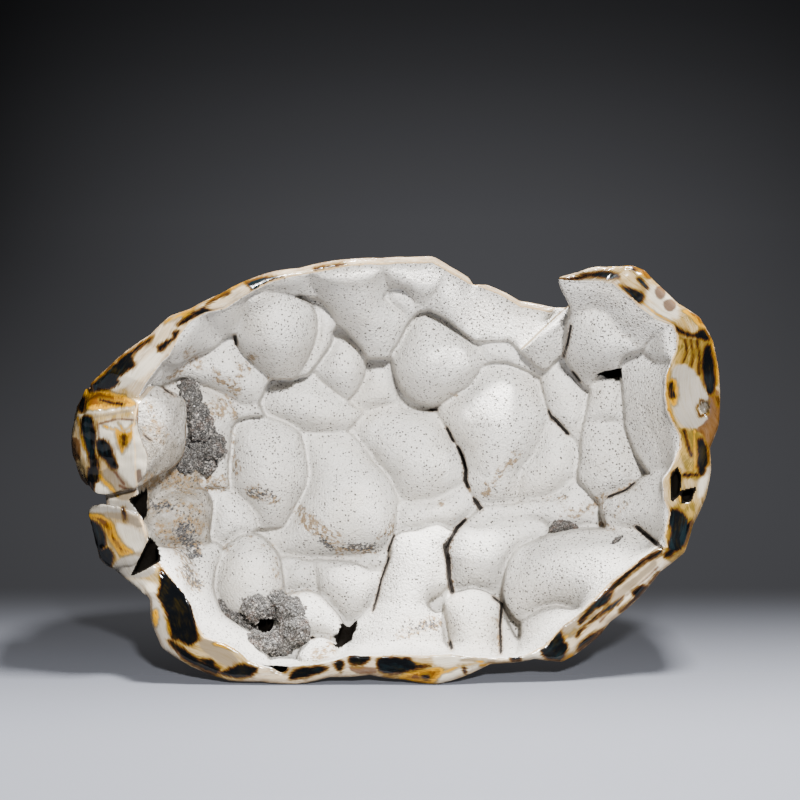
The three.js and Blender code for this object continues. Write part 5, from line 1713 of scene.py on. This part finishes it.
def crust_finish(name, dark, light):
    """Grey-brown sugary crystals, each a little different."""
    f = Finish(name)
    place = f.place()
    tone = f.measure("tone")
    patches = f.noise(place, 330, 3)
    colour = f.blend(tone.rise(0.4, 0.95), dark, light)
    colour = f.blend(patches.rise(0.5, 0.62) * 0.7, colour, CRUST_BROWN)
    colour = f.blend(f.noise(place, 120, 2).rise(0.44, 0.58) * 0.75, colour, (0.018, 0.016, 0.013))
    colour = f.blend(f.noise(place, 520, 2).rise(0.5, 0.6) * 0.85, colour, (0.015, 0.012, 0.01))
    grain = f.noise(place, 3000, 2)
    colour = f.blend(grain.rise(0.5, 0.7) * 0.3, colour, (0.6, 0.58, 0.55))
    bump = f.node("ShaderNodeBump", None, {"Strength": 0.4, "Distance": 0.0001, "Height": grain})
    rough = 0.75 - tone.rise(0.7, 1.0) * 0.4
    f.shade(None, {"Base Color": colour, "Roughness": rough, "Normal": bump.outputs[0]})
    return f.material


# ---- Stage

FLOOR_PALE = (0.108, 0.113, 0.132)


def floor_finish():
    """Pale paper that fades into the dark behind the stone; the fade paints the light falling off."""
    f = Finish("pale_floor")
    parts = f.node("ShaderNodeSeparateXYZ", None, {"Vector": f.place()})
    back = Value(f, parts.outputs[1])
    # Painted light: towards the back the floor turns transparent, so the dark room shows through as if the light fell
    # off
    fade = back.rise(-0.116, 0.077)
    grain = f.noise(f.place(), 1500, 2)
    colour = f.blend(grain * 0.08, FLOOR_PALE, (0.09, 0.09, 0.09))
    paper = f.node("ShaderNodeBsdfPrincipled", None, {"Base Color": colour, "Roughness": 0.6})
    clear = f.node("ShaderNodeBsdfTransparent")
    mixed = f.node("ShaderNodeMixShader", None, {0: fade, 1: paper.outputs[0], 2: clear.outputs[0]})
    f.tree.links.new(mixed.outputs[0], f.output.inputs["Surface"])
    return f.material


def make_floor(radius):
    corners = 96
    points = [(0, 0, 0)]
    points += [
        (radius * math.cos(2 * math.pi * c / corners), radius * math.sin(2 * math.pi * c / corners), 0)
        for c in range(corners)
    ]
    faces = [(0, 1 + c, 1 + (c + 1) % corners) for c in range(corners)]
    floor = new_object("studio_floor", points, faces)
    floor.data.materials.append(floor_finish())
    return floor


def soft_light(name, place, towards, size, power, colour=(1, 1, 1)):
    lamp = bpy.data.lights.new(name, "AREA")
    lamp.shape = "RECTANGLE"
    lamp.size, lamp.size_y = size
    lamp.energy = power
    lamp.color = colour
    light = bpy.data.objects.new(name, lamp)
    bpy.context.scene.collection.objects.link(light)
    light.location = place
    light.rotation_euler = (Vector(towards) - Vector(place)).to_track_quat("-Z", "Y").to_euler()
    return light


ROOM_GREYS = (
    (-0.27, 0.072), (-0.208, 0.077), (-0.175, 0.076), (-0.149, 0.071), (-0.136, 0.0615), (-0.1165, 0.047),
    (-0.097, 0.0316), (-0.081, 0.0225), (-0.05, 0.012),
)


def dark_room(tint):
    """A dark grey room, lighter low down and darker towards its upper corners."""
    world = bpy.data.worlds.new("studio_room")
    world.use_nodes = True
    tree = world.node_tree
    room = Finish.__new__(Finish)
    room.tree = tree
    way = room.node("ShaderNodeTexCoord").outputs["Generated"]
    parts = room.node("ShaderNodeSeparateXYZ", None, {0: way})
    right, up = Value(room, parts.outputs[0]), Value(room, parts.outputs[2])
    low, high = ROOM_GREYS[0][0], ROOM_GREYS[-1][0]
    ramp = room.node("ShaderNodeValToRGB", None, {0: (up - low) * (1 / (high - low))})
    stops = ramp.color_ramp.elements
    for number, (place, grey) in enumerate(ROOM_GREYS):
        at_end = number in (0, len(ROOM_GREYS) - 1)
        stop = stops[-1 if number else 0] if at_end else stops.new((place - low) / (high - low))
        stop.color = (grey * tint[0], grey * tint[1], grey * tint[2], 1)
    aside = (right - 0.02) * (right - 0.02)
    corner = aside * (up.rise(-0.254, -0.136) * 21 + 9)
    dark = room.blend(corner.lower(0.8), ramp.outputs[0], (0.0, 0.0, 0.0))
    tree.links.new(dark, tree.nodes["Background"].inputs["Color"])
    bpy.context.scene.world = world


def photo_camera():
    camera = bpy.data.cameras.new("front_camera")
    camera.lens, camera.sensor_width = 135, 36
    eye = bpy.data.objects.new("front_camera", camera)
    bpy.context.scene.collection.objects.link(eye)
    eye.location = standing([(0, 0, -EYE_DISTANCE)])[0]
    eye.rotation_euler = (math.radians(90) - LEAN, 0, 0)
    bpy.context.scene.camera = eye


# ---- Add-on

class GeodeSettings(bpy.types.PropertyGroup):
    grid_step: FloatProperty(
        name="Grid step", description="Spacing of the points that the stone is shaped on, in millimetres",
        default=0.7, min=0.4, max=2.0,
    )
    stone_triangles: IntProperty(
        name="Stone triangles", description="Triangles of the stone's mesh", default=192000, min=20000,
        max=198000,
    )
    crystal_size: FloatProperty(
        name="Crystal size", description="Half width of a crust's crystals, in millimetres", default=0.46,
        min=0.2, max=1.5,
    )


class StageSettings(bpy.types.PropertyGroup):
    floor_radius: FloatProperty(
        name="Floor radius", description="Radius of the floor", default=0.6, unit="LENGTH",
    )
    room_tint: FloatVectorProperty(
        name="Room tint", description="Tint of the room's greys", subtype="COLOR", default=(0.955, 0.965, 1.05),
    )
    key_power: FloatProperty(name="Overhead light", description="Power overhead", default=63, unit="POWER")
    front_power: FloatProperty(name="Front light", description="Power in front", default=50, unit="POWER")


def settled(piece, node):
    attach(piece, "root")
    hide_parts(node)


class GEODE_OT_stone(bpy.types.Operator):
    """Makes the stone with its hollow, domes, rim and lumps"""
    bl_idname = "geode.make_stone"
    bl_label = "Make stone"

    def execute(self, context):
        settings = context.scene.geode
        piece = cut_stone(settings.grid_step, settings.stone_triangles)
        measure_stone(piece)
        mesh = piece.data
        places = standing(points_of(mesh) * (1, 1, -1))
        low, high = np.array(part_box("geode")[0]), np.array(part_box("geode")[1])
        places = np.clip(places, low, high)
        mesh.vertices.foreach_set("co", np.ascontiguousarray(places, dtype=np.float32).ravel())
        mesh.update()
        mesh.materials.clear()
        mesh.materials.append(stone_finish())
        mesh.polygons.foreach_set("use_smooth", [True] * len(mesh.polygons))
        settled(piece, "geode")
        return {"FINISHED"}


class GEODE_OT_crusts(bpy.types.Operator):
    """Grows the two drusy crusts"""
    bl_idname = "geode.grow_crusts"
    bl_label = "Grow crusts"

    def execute(self, context):
        size = context.scene.geode.crystal_size
        finish = crust_finish("drusy_crystal", CRUST_GREY, CRUST_LIGHT)
        left = grow_crust("drusy_crystals_left", LEFT_CRUST, 2300, size, 31)
        floor = grow_crust("drusy_crystals_floor", FLOOR_CRUST, 2600, size, 41, CRUST_HOLE)
        for piece, node in ((left, "drusy_crust_left"), (floor, "drusy_crust_floor")):
            piece.data.materials.append(finish)
            settled(piece, node)
        return {"FINISHED"}


class GEODE_OT_chips(bpy.types.Operator):
    """Makes the two rough chips on the lower right domes"""
    bl_idname = "geode.make_chips"
    bl_label = "Make chips"

    def execute(self, context):
        finish = crust_finish("rough_chip", (0.02, 0.016, 0.012), (0.12, 0.10, 0.085))
        upper = grow_chip("rough_chip_upper", UPPER_CHIP, 260, 51)
        lower = grow_chip("rough_chip_lower", LOWER_CHIP, 120, 61)
        for piece, node in ((upper, "crust_chip_upper"), (lower, "crust_chip_lower")):
            piece.data.materials.append(finish)
            settled(piece, node)
        return {"FINISHED"}


class GEODE_OT_stage(bpy.types.Operator):
    """Sets the floor, the lights, the room and the camera"""
    bl_idname = "geode.set_stage"
    bl_label = "Set stage"

    def execute(self, context):
        stage = context.scene.geode_stage
        make_floor(stage.floor_radius)
        soft_light("overhead_light", (0.22, -0.01, 0.9), (0, 0, 0.05), (0.15, 0.15), stage.key_power)
        soft_light("front_light", (0.16, -1.03, 0.7), (0, 0, 0.06), (0.09, 0.09), stage.front_power)
        dark_room(stage.room_tint)
        photo_camera()
        return {"FINISHED"}


class GEODE_PT_panel(bpy.types.Panel):
    bl_idname = "GEODE_PT_panel"
    bl_label = "Agate geode"
    bl_space_type = "VIEW_3D"
    bl_region_type = "UI"
    bl_category = "Geode"

    def draw(self, context):
        layout = self.layout
        for group in (context.scene.geode, context.scene.geode_stage):
            for name in type(group).__annotations__:
                layout.prop(group, name)
        for maker in MAKERS:
            layout.operator(maker.bl_idname)


MAKERS = (GEODE_OT_stage, GEODE_OT_stone, GEODE_OT_crusts, GEODE_OT_chips)
CLASSES = (GeodeSettings, StageSettings, *MAKERS, GEODE_PT_panel)


def register():
    for entry in CLASSES:
        bpy.utils.register_class(entry)
    bpy.types.Scene.geode = PointerProperty(type=GeodeSettings)
    bpy.types.Scene.geode_stage = PointerProperty(type=StageSettings)


def unregister():
    del bpy.types.Scene.geode_stage
    del bpy.types.Scene.geode
    for entry in reversed(CLASSES):
        bpy.utils.unregister_class(entry)


def main():
    register()
    bpy.ops.geode.set_stage()
    bpy.ops.geode.make_stone()
    bpy.ops.geode.grow_crusts()
    bpy.ops.geode.make_chips()


if __name__ == "__main__":
    main()
